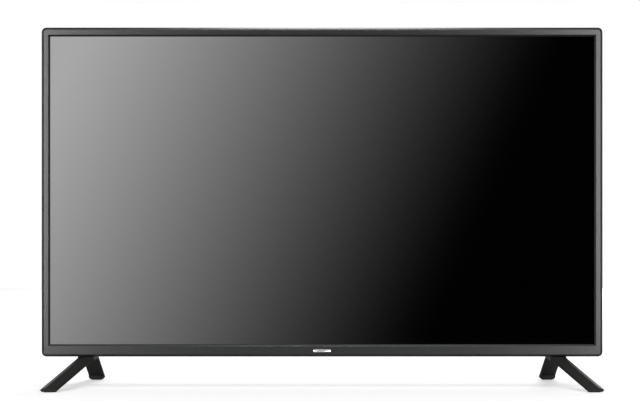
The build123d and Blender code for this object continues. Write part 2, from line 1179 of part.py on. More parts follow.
# Where the parts of the main board sit, as shares of its width and height
processor_place_shares = (0.48, 0.56)
memory_place_shares = ((0.30, 0.48), (0.30, 0.62))
flash_place_shares = (0.70, 0.60)
tuner_place_shares = (0.78, 0.22)


def main_place(shares):
    across, up = shares
    return -main_outer + across * main_board_width, board_rise + up * main_board_height


def on_board(place, length, width, height_above):
    x, rise = place
    return block(
        x - length / 2,
        x + length / 2,
        board_back,
        board_back + height_above,
        rise - width / 2,
        rise + width / 2,
    )


def main_chips():
    processor = main_place(processor_place_shares)
    chips = [on_board(processor, processor_side, processor_side, chip_lid_height)]
    for shares in memory_place_shares:
        chips.append(on_board(main_place(shares), memory_width, memory_length, chip_lid_height / 2))
    chips.append(on_board(main_place(flash_place_shares), flash_side, flash_side, chip_lid_height))
    chips.append(on_board(main_place(tuner_place_shares), tuner_length, tuner_width, tuner_height))
    return group(chips)


def main_heatsink():
    x, rise = main_place(processor_place_shares)
    front = board_back + chip_lid_height
    half = sink_side / 2
    sink = block(x - half, x + half, front, front + sink_base, rise - half, rise + half)
    for place in spread(sink_fins, x - half, x + half):
        sink += block(
            place - sink_fin_thickness / 2,
            place + sink_fin_thickness / 2,
            front + sink_base,
            front + sink_height,
            rise - half,
            rise + half,
        )
    return sink


# Rises of the sockets on the side edge and X places on the lower edge, as shares of the notch and board
side_hdmi_shares = (0.20, 0.42)
side_usb_share = 0.62
side_jack_share = 0.80
lower_lan_share = 0.20
lower_hdmi_share = 0.34
lower_phono_share = 0.62
lower_coax_share = 0.84


def side_rise(share):
    return board_rise + notch_margin + share * notch_height


def lower_x(share):
    return -main_outer + share * main_board_width


def side_socket(share, length, tall, deep):
    # The body of a socket that faces the side, and the depth of its middle
    rise = side_rise(share)
    front = board_back
    mouth = -jack_face + plate_thickness / 2
    body = block(mouth, mouth + deep, front, front + tall, rise - length / 2, rise + length / 2)
    return body, mouth, front + tall / 2, rise


def lower_socket(share, length, tall, deep):
    # The body of a socket that faces down, and the depth of its middle
    x = lower_x(share)
    mouth = pocket_top + plate_thickness / 2
    body = block(x - length / 2, x + length / 2, board_back, board_back + tall, mouth, mouth + deep)
    return body, x, board_back + tall / 2, mouth


def hdmi_sockets():
    sockets = []
    wall = hdmi_wall
    inner_long, inner_tall = hdmi_length / 2 - wall, hdmi_height / 2 - wall
    tongue_long = inner_long - wall * 2
    for share in side_hdmi_shares:
        body, mouth, distance, rise = side_socket(share, hdmi_length, hdmi_height, hdmi_depth)
        body -= block(
            mouth - overrun,
            mouth + hdmi_depth - hdmi_wall,
            distance - inner_tall,
            distance + inner_tall,
            rise - inner_long,
            rise + inner_long,
        )
        body += block(
            mouth + hdmi_tongue_setback,
            mouth + hdmi_depth - hdmi_wall,
            distance - hdmi_tongue / 2,
            distance + hdmi_tongue / 2,
            rise - tongue_long,
            rise + tongue_long,
        )
        sockets.append(body)
    body, x, distance, mouth = lower_socket(lower_hdmi_share, hdmi_length, hdmi_height, hdmi_depth)
    body -= block(
        x - inner_long,
        x + inner_long,
        distance - inner_tall,
        distance + inner_tall,
        mouth - overrun,
        mouth + hdmi_depth - hdmi_wall,
    )
    body += block(
        x - tongue_long,
        x + tongue_long,
        distance - hdmi_tongue / 2,
        distance + hdmi_tongue / 2,
        mouth + hdmi_tongue_setback,
        mouth + hdmi_depth - hdmi_wall,
    )
    sockets.append(body)
    return group(sockets)


def usb_socket():
    body, mouth, distance, rise = side_socket(side_usb_share, usb_length, usb_height, usb_depth)
    inner_long, inner_tall = usb_length / 2 - usb_wall, usb_height / 2 - usb_wall
    body -= block(
        mouth - overrun,
        mouth + usb_depth - usb_wall,
        distance - inner_tall,
        distance + inner_tall,
        rise - inner_long,
        rise + inner_long,
    )
    tongue = block(
        mouth + usb_wall,
        mouth + usb_depth - usb_wall,
        distance - inner_tall,
        distance - inner_tall + usb_tongue,
        rise - inner_long + usb_wall,
        rise + inner_long - usb_wall,
    )
    return body + tongue


def headphone_jack():
    body, mouth, distance, rise = side_socket(side_jack_share, jack_side, jack_side, jack_depth)
    return body - rod_x(mouth - overrun, mouth + jack_bore_length, distance, rise, jack_bore_radius)


def lan_socket():
    body, x, distance, mouth = lower_socket(lower_lan_share, lan_length, lan_height, lan_depth)
    half_long, half_tall = lan_cavity_length / 2, lan_cavity_height / 2
    body -= block(
        x - half_long,
        x + half_long,
        distance - half_tall,
        distance + half_tall,
        mouth - overrun,
        mouth + lan_cavity_depth,
    )
    return body - block(
        x - lan_latch_length / 2,
        x + lan_latch_length / 2,
        distance - half_tall - lan_latch_height,
        distance,
        mouth - overrun,
        mouth + lan_cavity_depth,
    )


def phono_places():
    middle = lower_x(lower_phono_share)
    return [middle - phono_pitch, middle, middle + phono_pitch]


def phono_jacks():
    jacks = []
    mouth = pocket_top + cover_wall + board_edge_gap
    distance = board_back + phono_block / 2
    half = phono_block / 2
    for x in phono_places():
        jack = block(x - half, x + half, distance - half, distance + half, mouth, mouth + phono_depth)
        jack += rod_z(x, distance, phono_ring_radius, mouth - phono_ring_length, mouth)
        bore_top = mouth + phono_depth / 2
        jack -= rod_z(x, distance, phono_bore_radius, mouth - phono_ring_length - overrun, bore_top)
        jacks.append(jack)
    return group(jacks)


def coax_socket():
    x = lower_x(lower_coax_share)
    mouth = pocket_top + cover_wall + board_edge_gap
    distance = board_back + coax_block / 2
    half = coax_block / 2
    socket = block(x - half, x + half, distance - half, distance + half, mouth, mouth + coax_depth)
    socket += rod_z(x, distance, coax_radius, mouth - coax_length, mouth)
    return socket - rod_z(x, distance, coax_bore_radius, mouth - coax_length - overrun, mouth)


def side_jack_plate():
    low, high, front, back = plate_window(-plate_gap)
    plate = block(-jack_face, -jack_face + plate_thickness, front, back, low, high)
    gap = plate_gap
    cuts = []
    for share in side_hdmi_shares:
        cuts.append(side_plate_cut(share, hdmi_length + 2 * gap, hdmi_height, gap))
    cuts.append(side_plate_cut(side_usb_share, usb_length + 2 * gap, usb_height, gap))
    cuts.append(side_plate_cut(side_jack_share, jack_side + 2 * gap, jack_side, gap))
    return plate - cuts


def side_plate_cut(share, length, tall, gap):
    rise = side_rise(share)
    return block(
        -jack_face - overrun,
        -jack_face + plate_thickness + overrun,
        board_back - gap,
        board_back + tall + gap,
        rise - length / 2,
        rise + length / 2,
    )


def lower_jack_plate():
    left, right, front, back = pocket_window(-plate_gap)
    plate = block(left, right, front, back, pocket_top, pocket_top + plate_thickness)
    gap = plate_gap
    cuts = []
    for share, length, tall in (
        (lower_lan_share, lan_length, lan_height),
        (lower_hdmi_share, hdmi_length, hdmi_height),
    ):
        x = lower_x(share)
        cuts.append(
            block(
                x - length / 2 - gap,
                x + length / 2 + gap,
                board_back - gap,
                board_back + tall + gap,
                pocket_top - overrun,
                pocket_top + plate_thickness + overrun,
            )
        )
    rounds = [(x, board_back + phono_block / 2, phono_ring_radius) for x in phono_places()]
    rounds.append((lower_x(lower_coax_share), board_back + coax_block / 2, coax_radius))
    high = pocket_top + plate_thickness + overrun
    for x, distance, radius in rounds:
        cuts.append(rod_z(x, distance, radius + gap, pocket_top - overrun, high))
    return plate - cuts


# Where the parts of the power board sit, as shares of its width and height
transformer_place_shares = ((0.30, 0.40), (0.30, 0.74))
choke_place_shares = (0.74, 0.42)
capacitor_place_shares = ((0.56, 0.70), (0.66, 0.70), (0.76, 0.70), (0.54, 0.24), (0.10, 0.30))
power_sink_place_shares = ((0.40, 0.10), (0.72, 0.90))


def power_place(shares):
    across, up = shares
    return board_inner + across * power_board_width, board_rise + up * power_board_height


def power_transformers():
    pieces = []
    for shares in transformer_place_shares:
        place = power_place(shares)
        coil = on_board(place, transformer_length, winding_width, winding_height)
        core = on_board(place, core_length, transformer_width, core_height)
        pieces.append(coil + core)
    place = power_place(choke_place_shares)
    pieces.append(on_board(place, choke_length, choke_width, winding_height))
    return group(pieces)


def power_capacitors():
    cans = []
    for shares in capacitor_place_shares:
        x, rise = power_place(shares)
        distance = board_back + capacitor_radius
        low, high = rise - capacitor_length / 2, rise + capacitor_length / 2
        cans.append(rod_z(x, distance, capacitor_radius, low, high))
    return group(cans)


def power_heatsinks():
    sinks = []
    for shares in power_sink_place_shares:
        place = power_place(shares)
        sink = on_board(place, power_sink_length, power_sink_width, power_sink_plate)
        sink += on_board(place, power_sink_length, power_sink_plate, power_sink_height)
        sinks.append(sink)
    return group(sinks)


def stadium_x(left, right, distance, rise, long, tall):
    # A slot shape along X, long in the rise and tall in the depth
    plane = Plane(origin=(left, behind(distance), above(rise)), x_dir=(0, 1, 0), z_dir=(1, 0, 0))
    outline = plane * RectangleRounded(tall, long, tall / 2 - slide_gap)
    return extrude(outline, amount=right - left)


def mains_inlet():
    rise = inlet_rise()
    back = plateau_inside - plate_gap
    distance = (board_back + back) / 2
    half_long = inlet_length / 2
    half_flange = half_long + inlet_flange
    mouth = inlet_face + inlet_flange_thickness
    body = block(mouth - inlet_depth, mouth, board_back, back, rise - half_long, rise + half_long)
    body += block(
        inlet_face, mouth, thin_depth + plate_gap, back, rise - half_flange, rise + half_flange
    )
    bottom = mouth - inlet_cavity_depth
    body -= stadium_x(
        bottom,
        mouth + overrun,
        distance,
        rise,
        inlet_cavity_length,
        inlet_cavity_height,
    )
    for side in (-1, 1):
        place = rise + side * inlet_pin_spacing / 2
        root = bottom - inlet_pin_root
        body += rod_x(root, bottom + inlet_pin_length, distance, place, inlet_pin_radius)
    return body


def timing_lid():
    seat = timing_seat
    margin = timing_lid_margin
    sheet = timing_lid_sheet
    half = timing_width / 2 - margin
    low, high = timing_rise + margin, timing_rise + timing_height - margin
    back = seat + timing_lid_height
    lid = block(-half, half, seat, back, low, high)
    inside = half - sheet
    return lid - block(-inside, inside, seat - overrun, back - sheet, low + sheet, high - sheet)


def source_span():
    # The inner and outer ends of a source board
    return source_board_inner, foot_x - bracket_width / 2 - cover_wall


def source_boards():
    inner, outer = source_span()
    high = chassis_low
    board = block(
        inner,
        outer,
        source_board_front,
        source_board_front + source_board_depth,
        high - source_board_thickness,
        high,
    )
    return group(both_sides(board))


def source_films():
    # Thin films from the lower edge of the picture panel, under the guide panel, to the source boards
    inner, outer = source_span()
    front = cell_front + (cell_thickness - film_thickness) / 2
    sheet = film_thickness
    cell_low = opening_low - cell_overlap
    low = guide_low - film_drop - sheet
    board_low = chassis_low - source_board_thickness
    turn = source_board_front - source_board_thickness
    films = []
    for x in spread(film_count, inner, outer):
        left, right = x - film_width / 2, x + film_width / 2
        film = block(left, right, front, front + sheet, low, cell_low)
        film += block(left, right, front, turn, low, low + sheet)
        film += block(left, right, turn - sheet, turn, low, board_low)
        end = source_board_front + source_board_depth / 3
        film += block(left, right, turn - sheet, end, board_low - sheet, board_low)
        films += both_sides(film)
    return group(films)


def source_ribbons():
    # Flat ribbons from the timing board down and under the chassis to the source boards
    left, right = ribbon_place - ribbon_width / 2, ribbon_place + ribbon_width / 2
    sheet = ribbon_thickness
    board_low = chassis_low - source_board_thickness
    start = timing_seat
    drop = start + ribbon_lift
    low = board_low - ribbon_lift - sheet
    plug = block(left, right, start, drop, timing_rise, timing_rise + timing_lid_margin / 2)
    ribbon = plug + block(left, right, drop - sheet, drop, low, timing_rise + timing_lid_margin / 2)
    end = source_board_front + source_board_depth - sheet
    ribbon += block(left, right, end - ribbon_lift, drop, low, low + sheet)
    ribbon += block(left, right, end - ribbon_lift, end, low, board_low)
    return group(both_sides(ribbon))


def tube(points, radius, bend):
    # A round cable through places given as X, distance behind the front and rise
    corners = [(x, behind(distance), above(rise)) for x, distance, rise in points]
    path = FilletPolyline(*corners, radius=bend)
    ring = Plane(origin=path.position_at(0), z_dir=path.tangent_at(0)) * Circle(radius)
    return sweep(ring, path=path)


def plug(x, rise, front):
    half_long, half_wide = plug_length / 2, plug_width / 2
    return block(
        x - half_long, x + half_long, front, cable_depth + half_wide, rise - half_wide, rise + half_wide
    )


def board_cable(start, lane, low, end, end_front):
    # From a plug on the main board, down a lane beside the rail, across and to a second plug
    left = -board_inner - plug_inset
    end_x, end_rise = end
    points = [
        (left, cable_depth, start),
        (lane, cable_depth, start),
        (lane, cable_depth, low),
        (end_x, cable_depth, low),
        (end_x, cable_depth, end_rise),
    ]
    cable = tube(points, cable_radius, cable_bend)
    return cable + plug(left, start, board_back) + plug(end_x, end_rise, end_front)


def cables():
    lane = -rail_x - rail_width / 2 - cable_lane
    start = board_rise + first_plug_rise
    power_end = board_inner + power_plug_inset, board_rise + plug_length / 2
    timing_end = -timing_plug_place, timing_high - plug_width / 2
    power = board_cable(start + 2 * plug_pitch, lane, board_rise - power_drop, power_end, board_back)
    panel_low = timing_high + panel_drop
    panel = board_cable(start + plug_pitch, lane - cable_pitch, panel_low, timing_end, timing_seat)
    keys_low = timing_rise - keys_drop
    keys = board_cable(start, lane - 2 * cable_pitch, keys_low, key_end(), key_end_front())
    return group([power, panel, keys, lamp_cable(), receiver_wire(), *speaker_wires()])


def key_end():
    return -key_plug_place, key_board_rise + key_board_thickness + plug_width / 2


def key_end_front():
    return cable_depth - plug_width / 2


def lamp_cable():
    # From the power board's top edge into the chassis, to feed the light bars
    x = board_inner + lamp_plug_inset
    rise = power_top - plug_width / 2
    high = power_top + lamp_cable_reach
    points = [(x, cable_depth, rise), (x, cable_depth, high), (x, chassis_back, high)]
    return tube(points, cable_radius, cable_bend) + plug(x, rise, board_back)


def receiver_wire():
    x = receiver_length / 4
    rise = receiver_rise + thin_wire_radius + slide_gap
    distance = joystick_depth - key_board_width / 2 + cable_bend
    points = [
        (x, receiver_front + receiver_depth, rise),
        (x, distance, rise),
        (x, distance, key_board_rise),
    ]
    return tube(points, thin_wire_radius, thin_wire_bend)


def speaker_wires():
    # One wire joins the two speaker boxes, and one goes from the left box up to the main board
    distance = chassis_back + thin_wire_radius + slide_gap
    top = speaker_low + speaker_high
    lane = top + speaker_wire_lane
    inner = driver_centre() - speaker_wire_lane
    right_side = [(inner, distance, top), (inner, distance, lane)]
    left_side = [(-inner, distance, lane), (-inner, distance, top)]
    across = tube(right_side + left_side, thin_wire_radius, thin_wire_bend)
    outer = -driver_centre() - speaker_wire_lane
    side = -main_outer - speaker_wire_lane
    high = main_top + speaker_wire_lane
    end = -main_outer + speaker_plug_inset
    rise = main_top - plug_width / 2
    points = [
        (outer, distance, top),
        (outer, distance, lane),
        (side, distance, lane),
        (side, distance, high),
        (end, distance, high),
        (end, cable_depth, high),
        (end, cable_depth, rise),
    ]
    return [across, tube(points, thin_wire_radius, thin_wire_bend) + plug(end, rise, board_back)]


def speaker_centre_depth():
    return chassis_back + slide_gap + speaker_thick / 2


def speaker_box():
    wall = speaker_wall
    low, high = speaker_low, speaker_low + speaker_high
    centre = speaker_centre_depth()
    front, back = centre - speaker_thick / 2, centre + speaker_thick / 2
    shell = block(speaker_inner, speaker_outer, front, back, low, high)
    room = block(
        speaker_inner + wall, speaker_outer - wall, front + wall, back - wall, low + wall, high - wall
    )
    middle = (speaker_inner + speaker_outer) / 2
    half = driver_length / 2 + slide_gap
    half_thick = driver_thick / 2 + slide_gap
    mouth = block(
        middle - half,
        middle + half,
        centre - half_thick,
        centre + half_thick,
        low - overrun,
        low + wall + overrun,
    )
    return shell - room - mouth


def driver_centre():
    return (speaker_inner + speaker_outer) / 2


def racetrack(x, distance, low, high, long, thick):
    plane = Plane(origin=(x, behind(distance), above(low)), x_dir=(1, 0, 0), z_dir=(0, 0, 1))
    outline = plane * RectangleRounded(long, thick, thick / 2 - slide_gap)
    return extrude(outline, amount=high - low)


def speaker_frame():
    x, distance = driver_centre(), speaker_centre_depth()
    low = speaker_low
    high = low + driver_high
    half, thick = driver_length / 2, driver_thick / 2
    frame = block(x - half, x + half, distance - thick, distance + thick, low, high)
    side = 2 * surround_width()
    long, deep = cone_length + side, cone_thick + side
    bore = racetrack(x, distance, low - overrun, high - driver_wall, long, deep)
    return frame - bore - rod_z(x, distance, magnet_outer - magnet_cup, low, high + overrun)


def surround_width():
    return (driver_thick - 2 * driver_wall - cone_thick) / 2


def speaker_surround():
    x, distance = driver_centre(), speaker_centre_depth()
    low = speaker_low + surround_rise
    high = low + surround_thickness
    outer_long = cone_length + 2 * surround_width()
    outer_thick = cone_thick + 2 * surround_width()
    ring = racetrack(x, distance, low, high, outer_long, outer_thick)
    inner_long, inner_thick = cone_length + 2 * surround_gap, cone_thick + 2 * surround_gap
    return ring - racetrack(x, distance, low - overrun, high + overrun, inner_long, inner_thick)


def speaker_cone():
    x, distance = driver_centre(), speaker_centre_depth()
    low = speaker_low + surround_rise
    high = low + cone_high
    sheet = cone_sheet
    cone = racetrack(x, distance, low, high, cone_length, cone_thick)
    long, deep = cone_length - 2 * sheet, cone_thick - 2 * sheet
    cone -= racetrack(x, distance, low - overrun, high - sheet, long, deep)
    coil = rod_z(x, distance, coil_outer, high, high + coil_high)
    coil -= rod_z(x, distance, coil_inner, high, high + coil_high + overrun)
    return cone + coil


def speaker_magnet():
    x, distance = driver_centre(), speaker_centre_depth()
    low = speaker_low + driver_high
    high = low + magnet_high
    cup = rod_z(x, distance, magnet_outer, low, high)
    gap_low = low - overrun
    room = rod_z(x, distance, magnet_outer - magnet_cup, gap_low, high - magnet_cup)
    pole = rod_z(x, distance, pole_radius, low - magnet_high / 2, high - magnet_cup)
    return cup - room + pole


def each_way(shape):
    return mirror(shape, about=Plane.YZ)


def key_board():
    half, wide = key_board_length / 2, key_board_width / 2
    front, back = joystick_depth - wide, joystick_depth + wide
    return block(-half, half, front, back, key_board_rise, key_board_rise + key_board_thickness)


def key_bridge():
    # The plastic shelf that holds the key board to the chassis
    half = key_board_length / 2
    wide = key_board_width / 2
    low = key_board_rise + key_board_thickness
    grip = joystick_depth - wide + bridge_grip
    bridge = block(-half, half, chassis_back, grip, low, low + bridge_thickness)
    bridge += block(-half, half, chassis_back, chassis_back + bridge_thickness, low, low + bridge_reach)
    return bridge


def joystick_base():
    half = switch_side / 2
    high = key_board_rise
    low = high - switch_high
    base = block(-half, half, joystick_depth - half, joystick_depth + half, low, high)
    room = half - switch_wall
    base -= block(
        -room, room, joystick_depth - room, joystick_depth + room, low - overrun, high - switch_wall
    )
    pin_hole = trunnion_radius + slide_gap
    return base - rod_x(-half - overrun, half + overrun, joystick_depth, pivot_rise, pin_hole)


def joystick_gimbal():
    half = gimbal_thickness / 2
    low, high = pivot_rise - half, pivot_rise + half
    ring = rod_z(0, joystick_depth, gimbal_outer, low, high)
    ring -= rod_z(0, joystick_depth, gimbal_inner, low - overrun, high + overrun)
    reach = switch_side / 2 - switch_wall + trunnion_reach
    pins = rod_x(-reach, reach, joystick_depth, pivot_rise, trunnion_radius)
    clear = gimbal_inner + slide_gap
    pins -= rod_x(-clear, clear, joystick_depth, pivot_rise, gimbal_inner)
    bore = stem_pin_radius + slide_gap
    middle = Pos(0, behind(joystick_depth), above(pivot_rise)) * Rot(90, 0, 0)
    return ring + pins - middle * Cylinder(bore, 2 * gimbal_outer + overrun)


def joystick_stem():
    low = pivot_rise - stem_length
    stem = rod_z(0, joystick_depth, stem_radius, low, pivot_rise + stem_radius)
    middle = Pos(0, behind(joystick_depth), above(pivot_rise)) * Rot(90, 0, 0)
    return stem + middle * Cylinder(stem_pin_radius, 2 * gimbal_outer - gimbal_thickness / 2)


def joystick_cap():
    low = cover_inset - cap_low - cap_low
    stem_low = pivot_rise - stem_length
    high = stem_low + cap_overlap
    cap = rod_z(0, joystick_depth, cap_radius, low + cap_rim, high)
    cap += Pos(0, behind(joystick_depth), above(low + cap_rim / 2)) * Cone(
        cap_radius - cap_rim, cap_radius, cap_rim
    )
    bore_low = stem_low - press_travel - slide_gap
    return cap - rod_z(0, joystick_depth, stem_radius + cap_bore_gap, bore_low, high + overrun)


def stand_bracket():
    half = bracket_width / 2
    sheet = bracket_sheet
    low, tab = cover_floor, bracket_tab
    plate = block(
        foot_x - half, foot_x + half, chassis_back, chassis_back + sheet, low, low + bracket_high
    )
    back = plateau_inside - cover_wall
    plate += block(foot_x - half, foot_x + half, bracket_front, back, low, low + tab)
    holes = []
    for x, distance in stand_screw_places():
        if x > 0:
            plate += rod_z(x, distance, bracket_nut_radius, low + tab, low + tab + bracket_nut_height)
            holes.append(
                rod_z(
                    x,
                    distance,
                    stand_screw_radius + slide_gap,
                    low - overrun,
                    low + tab + bracket_nut_height + overrun,
                )
            )
    return plate - holes


def stand_screw_places():
    middle = frame_back + (set_depth - frame_back) / 2
    half = stand_screw_spacing / 2
    return [(x, middle + step) for x in (foot_x, -foot_x) for step in (-half, half)]


def leg_section(width, tip_y, tip_x):
    # The end face of a leg at its tip, seen from the front, with a ridge along its top
    plane = Plane(origin=(tip_x, tip_y, 0), x_dir=(1, 0, 0), z_dir=(0, -1, 0))
    half = width / 2
    low = tip_height - leg_height
    ridge = half - ridge_share * width
    outline = Polygon(
        (-half, low),
        (half, low),
        (half, tip_height - outer_facet_drop),
        (ridge, tip_height),
        (-half, tip_height - inner_facet_drop),
        align=None,
    )
    return plane * fillet(outline.vertices(), leg_edge_radius)


def above_facet(tip_y, tip_x):
    # The air over the outer facet, which runs on through the saddle
    plane = Plane(origin=(tip_x, tip_y, 0), x_dir=(1, 0, 0), z_dir=(0, -1, 0))
    facet_width = ridge_share * leg_width
    ridge, far = leg_width / 2 - facet_width, leg_width / 2 + facet_width
    high = tip_height + 2 * leg_height
    outline = Polygon(
        (ridge, tip_height),
        (far, tip_height - 2 * outer_facet_drop),
        (far, high),
        (ridge, high),
        align=None,
    )
    return plane * outline


def toe_section(width, lean, drop, tip_y, tip_x):
    # What fills the room between a leg and the ground near its tip; its inner side has a lean
    plane = Plane(origin=(tip_x, tip_y, 0), x_dir=(1, 0, 0), z_dir=(0, -1, 0))
    half = width / 2
    low = tip_height - leg_height
    seat = low + leg_edge_radius
    outline = Polygon(
        (-half, seat),
        (-half + lean * (drop + leg_edge_radius), low - drop),
        (half, low - drop),
        (half, seat),
        align=None,
    )
    return plane * outline


def slanted(face, shift):
    return extrude(face, amount=Vector(*shift).length, dir=Vector(*shift).normalized())


def front_run():
    return face_setback + neck_back


def front_rise():
    return (ground_gap - neck_gap - tip_height) / face_setback


def rear_run():
    return stand_depth - face_setback - set_depth


def rear_rise():
    return (ground_gap + cover_inset - tip_height) / rear_run()


def front_lean():
    return tip_outset / front_run()


def rear_lean():
    return rear_splay / rear_run()


def front_shift(run):
    return -front_lean() * run, run, front_rise() * run


def rear_shift(run):
    return rear_lean() * run, -run, rear_rise() * run


def saddle_low():
    return tip_height - leg_height + front_rise() * (face_setback + saddle_front)


def leg_tips():
    # Width, X and Y of both tips, then the way in towards the set and the lean along it
    front = (leg_width, foot_x + tip_outset, -stand_depth / 2, 1, -front_lean())
    rear = (rear_leg_width, foot_x - rear_splay, stand_depth / 2, -1, rear_lean())
    return front, rear


def tip_cuts():
    # Slanted cuts that take the lower corners off both tips
    low, reach = sole_height, tip_cut + overrun
    cuts = []
    for width, tip_x, tip_y, way, lean in leg_tips():
        start_y = tip_y - way * overrun
        start_x = tip_x - lean * overrun
        run = toe_length + 2 * overrun
        for side in (-1, 1):
            if side > 0 or way < 0:
                edge = side * (width / 2 - tip_cut)
                plane = Plane(origin=(start_x + edge, start_y, low), x_dir=(1, 0, 0), z_dir=(0, -1, 0))
                corner = Polygon((0, 0), (side * reach, 0), (side * reach, reach), align=None)
                cuts.append(slanted(plane * corner, (lean * run, way * run, 0)))
    return cuts


def stand_foot():
    front_y, rear_y = -stand_depth / 2, stand_depth / 2
    front_x, rear_x = foot_x + tip_outset, foot_x - rear_splay
    foot = slanted(leg_section(leg_width, front_y, front_x), front_shift(front_run()))
    drop = front_rise() * toe_length
    toe = toe_section(leg_width, front_lean() / front_rise(), drop, front_y, front_x)
    foot += slanted(toe, front_shift(toe_length))
    foot += slanted(leg_section(rear_leg_width, rear_y, rear_x), rear_shift(rear_run()))
    heel = toe_section(rear_leg_width, 0, rear_rise() * toe_length, rear_y, rear_x)
    foot += slanted(heel, rear_shift(toe_length))
    foot += saddle() - slanted(above_facet(front_y, front_x), front_shift(front_run() + toe_length))
    ground = Pos(0, 0, sole_height - ground_gap) * Box(2 * set_width, 2 * stand_depth, 2 * ground_gap)
    above_neck = block(
        foot_x - tip_outset,
        foot_x + tip_outset,
        -face_setback,
        frame_back + neck_gap,
        -neck_gap,
        ground_gap,
    )
    foot = foot - ground - above_neck - tip_cuts()
    for x, distance in stand_screw_places():
        if x > 0:
            low = saddle_low() - ground_gap
            seat = low + counterbore_depth
            bore = stand_screw_head_radius + counterbore_gap
            foot -= rod_z(x, distance, bore, low - overrun, seat)
            bore = stand_screw_radius + fit_gap
            foot -= rod_z(x, distance, bore, seat - overrun, cover_inset + overrun)
    return foot - pad_blocks(fit_gap)


def saddle():
    # The flat top that joins the legs and carries the set
    half, rear_half = leg_width / 2, rear_leg_width / 2
    start = foot_x + tip_outset / front_run() * (neck_back - saddle_front)
    outline = Polygon(
        (start - half, behind(saddle_front)),
        (start + half, behind(saddle_front)),
        (foot_x + rear_half, behind(neck_back)),
        (foot_x + rear_half, behind(set_depth)),
        (foot_x - rear_half, behind(set_depth)),
        (foot_x - rear_half, behind(neck_back)),
        align=None,
    )
    plane = Plane(origin=(0, 0, saddle_low()), x_dir=(1, 0, 0), z_dir=(0, 0, 1))
    return extrude(plane * outline, amount=ground_gap + cover_inset - saddle_low())


def pad_blocks(grow):
    # Rubber pads under both tips, or with a grow the pockets that hold them
    high = sole_height + pad_pocket
    low = 0 if grow == 0 else -overrun
    blocks = []
    for width, tip_x, tip_y, way, lean in leg_tips():
        start = pad_inset - grow
        plane = Plane(
            origin=(tip_x + lean * start, tip_y + way * start, (low + high) / 2),
            x_dir=(1, 0, 0),
            z_dir=(0, -1, 0),
        )
        face = plane * Rectangle(width - 2 * tip_cut - 2 * pad_inset + 2 * grow, high - low)
        run = toe_length - 2 * start
        blocks.append(slanted(face, (lean * run, way * run, 0)))
    return blocks


def foot_pads():
    pads = pad_blocks(0)
    return group(pads + [each_way(pad) for pad in pads])


def stand_screws():
    screws = []
    for x, distance in stand_screw_places():
        seat = saddle_low() - ground_gap + counterbore_depth
        screw = rod_z(x, distance, stand_screw_head_radius, seat - stand_screw_head_height, seat)
        screw += rod_z(x, distance, stand_screw_radius, seat, seat + stand_screw_length)
        screw -= rod_z(
            x,
            distance,
            stand_screw_head_radius / 3,
            seat - stand_screw_head_height - overrun,
            seat - stand_screw_head_height / 2,
        )
        screws.append(screw)
    return group(screws)


def all_parts():
    box, frame, surround = speaker_box(), speaker_frame(), speaker_surround()
    cone, magnet = speaker_cone(), speaker_magnet()
    bracket, foot = stand_bracket(), stand_foot()
    return {
        "outer_frame": outer_frame(),
        "receiver_window": receiver_window(),
        "receiver_board": receiver_board(),
        "front_bezel": front_bezel(),
        "badge_bar": badge_bar(),
        "foam_strip": foam_strip(),
        "picture_panel": picture_panel(),
        "guide_panel": guide_panel(),
        "light_sheets": light_sheets(),
        "diffuser_plate": diffuser_plate(),
        "diffuser_posts": diffuser_posts(),
        "reflector_tray": reflector_tray(),
        "light_bars": light_bars(),
        "light_chips": light_chips(),
        "light_lenses": light_lenses(),
        "back_chassis": back_chassis(),
        "wall_rails": wall_rails(),
        "wall_nuts": wall_nuts(),
        "rear_cover": rear_cover(),
        "cover_screws": cover_screws(),
        "main_board": main_board(),
        "main_chips": main_chips(),
        "main_heatsink": main_heatsink(),
        "hdmi_sockets": hdmi_sockets(),
        "usb_socket": usb_socket(),
        "headphone_jack": headphone_jack(),
        "lan_socket": lan_socket(),
        "phono_jacks": phono_jacks(),
        "coax_socket": coax_socket(),
        "side_jack_plate": side_jack_plate(),
        "lower_jack_plate": lower_jack_plate(),
        "power_board": power_board(),
        "power_transformers": power_transformers(),
        "power_capacitors": power_capacitors(),
        "power_heatsinks": power_heatsinks(),
        "mains_inlet": mains_inlet(),
        "timing_board": timing_board(),
        "timing_lid": timing_lid(),
        "source_boards": source_boards(),
        "source_films": source_films(),
        "source_ribbons": source_ribbons(),
        "board_screws": board_screws(),
        "cables": cables(),
        "speaker_boxes": group(both_sides(box)),
        "speaker_frames": group(both_sides(frame)),
        "speaker_magnets": group(both_sides(magnet)),
        "speaker_surrounds": group(both_sides(surround)),
        "speaker_cone_right": cone,
        "speaker_cone_left": each_way(cone),
        "key_board": key_board(),
        "key_bridge": key_bridge(),
        "joystick_base": joystick_base(),
        "joystick_gimbal": joystick_gimbal(),
        "joystick_stem": joystick_stem(),
        "joystick_cap": joystick_cap(),
        "stand_brackets": group(both_sides(bracket)),
        "stand_screws": stand_screws(),
        "stand_foot_right": foot,
        "stand_foot_left": each_way(foot),
        "foot_pads": foot_pads(),
    }


os.makedirs("parts", exist_ok=True)
for name, shape in all_parts().items():
    export_step(shape, f"parts/{name}.step")
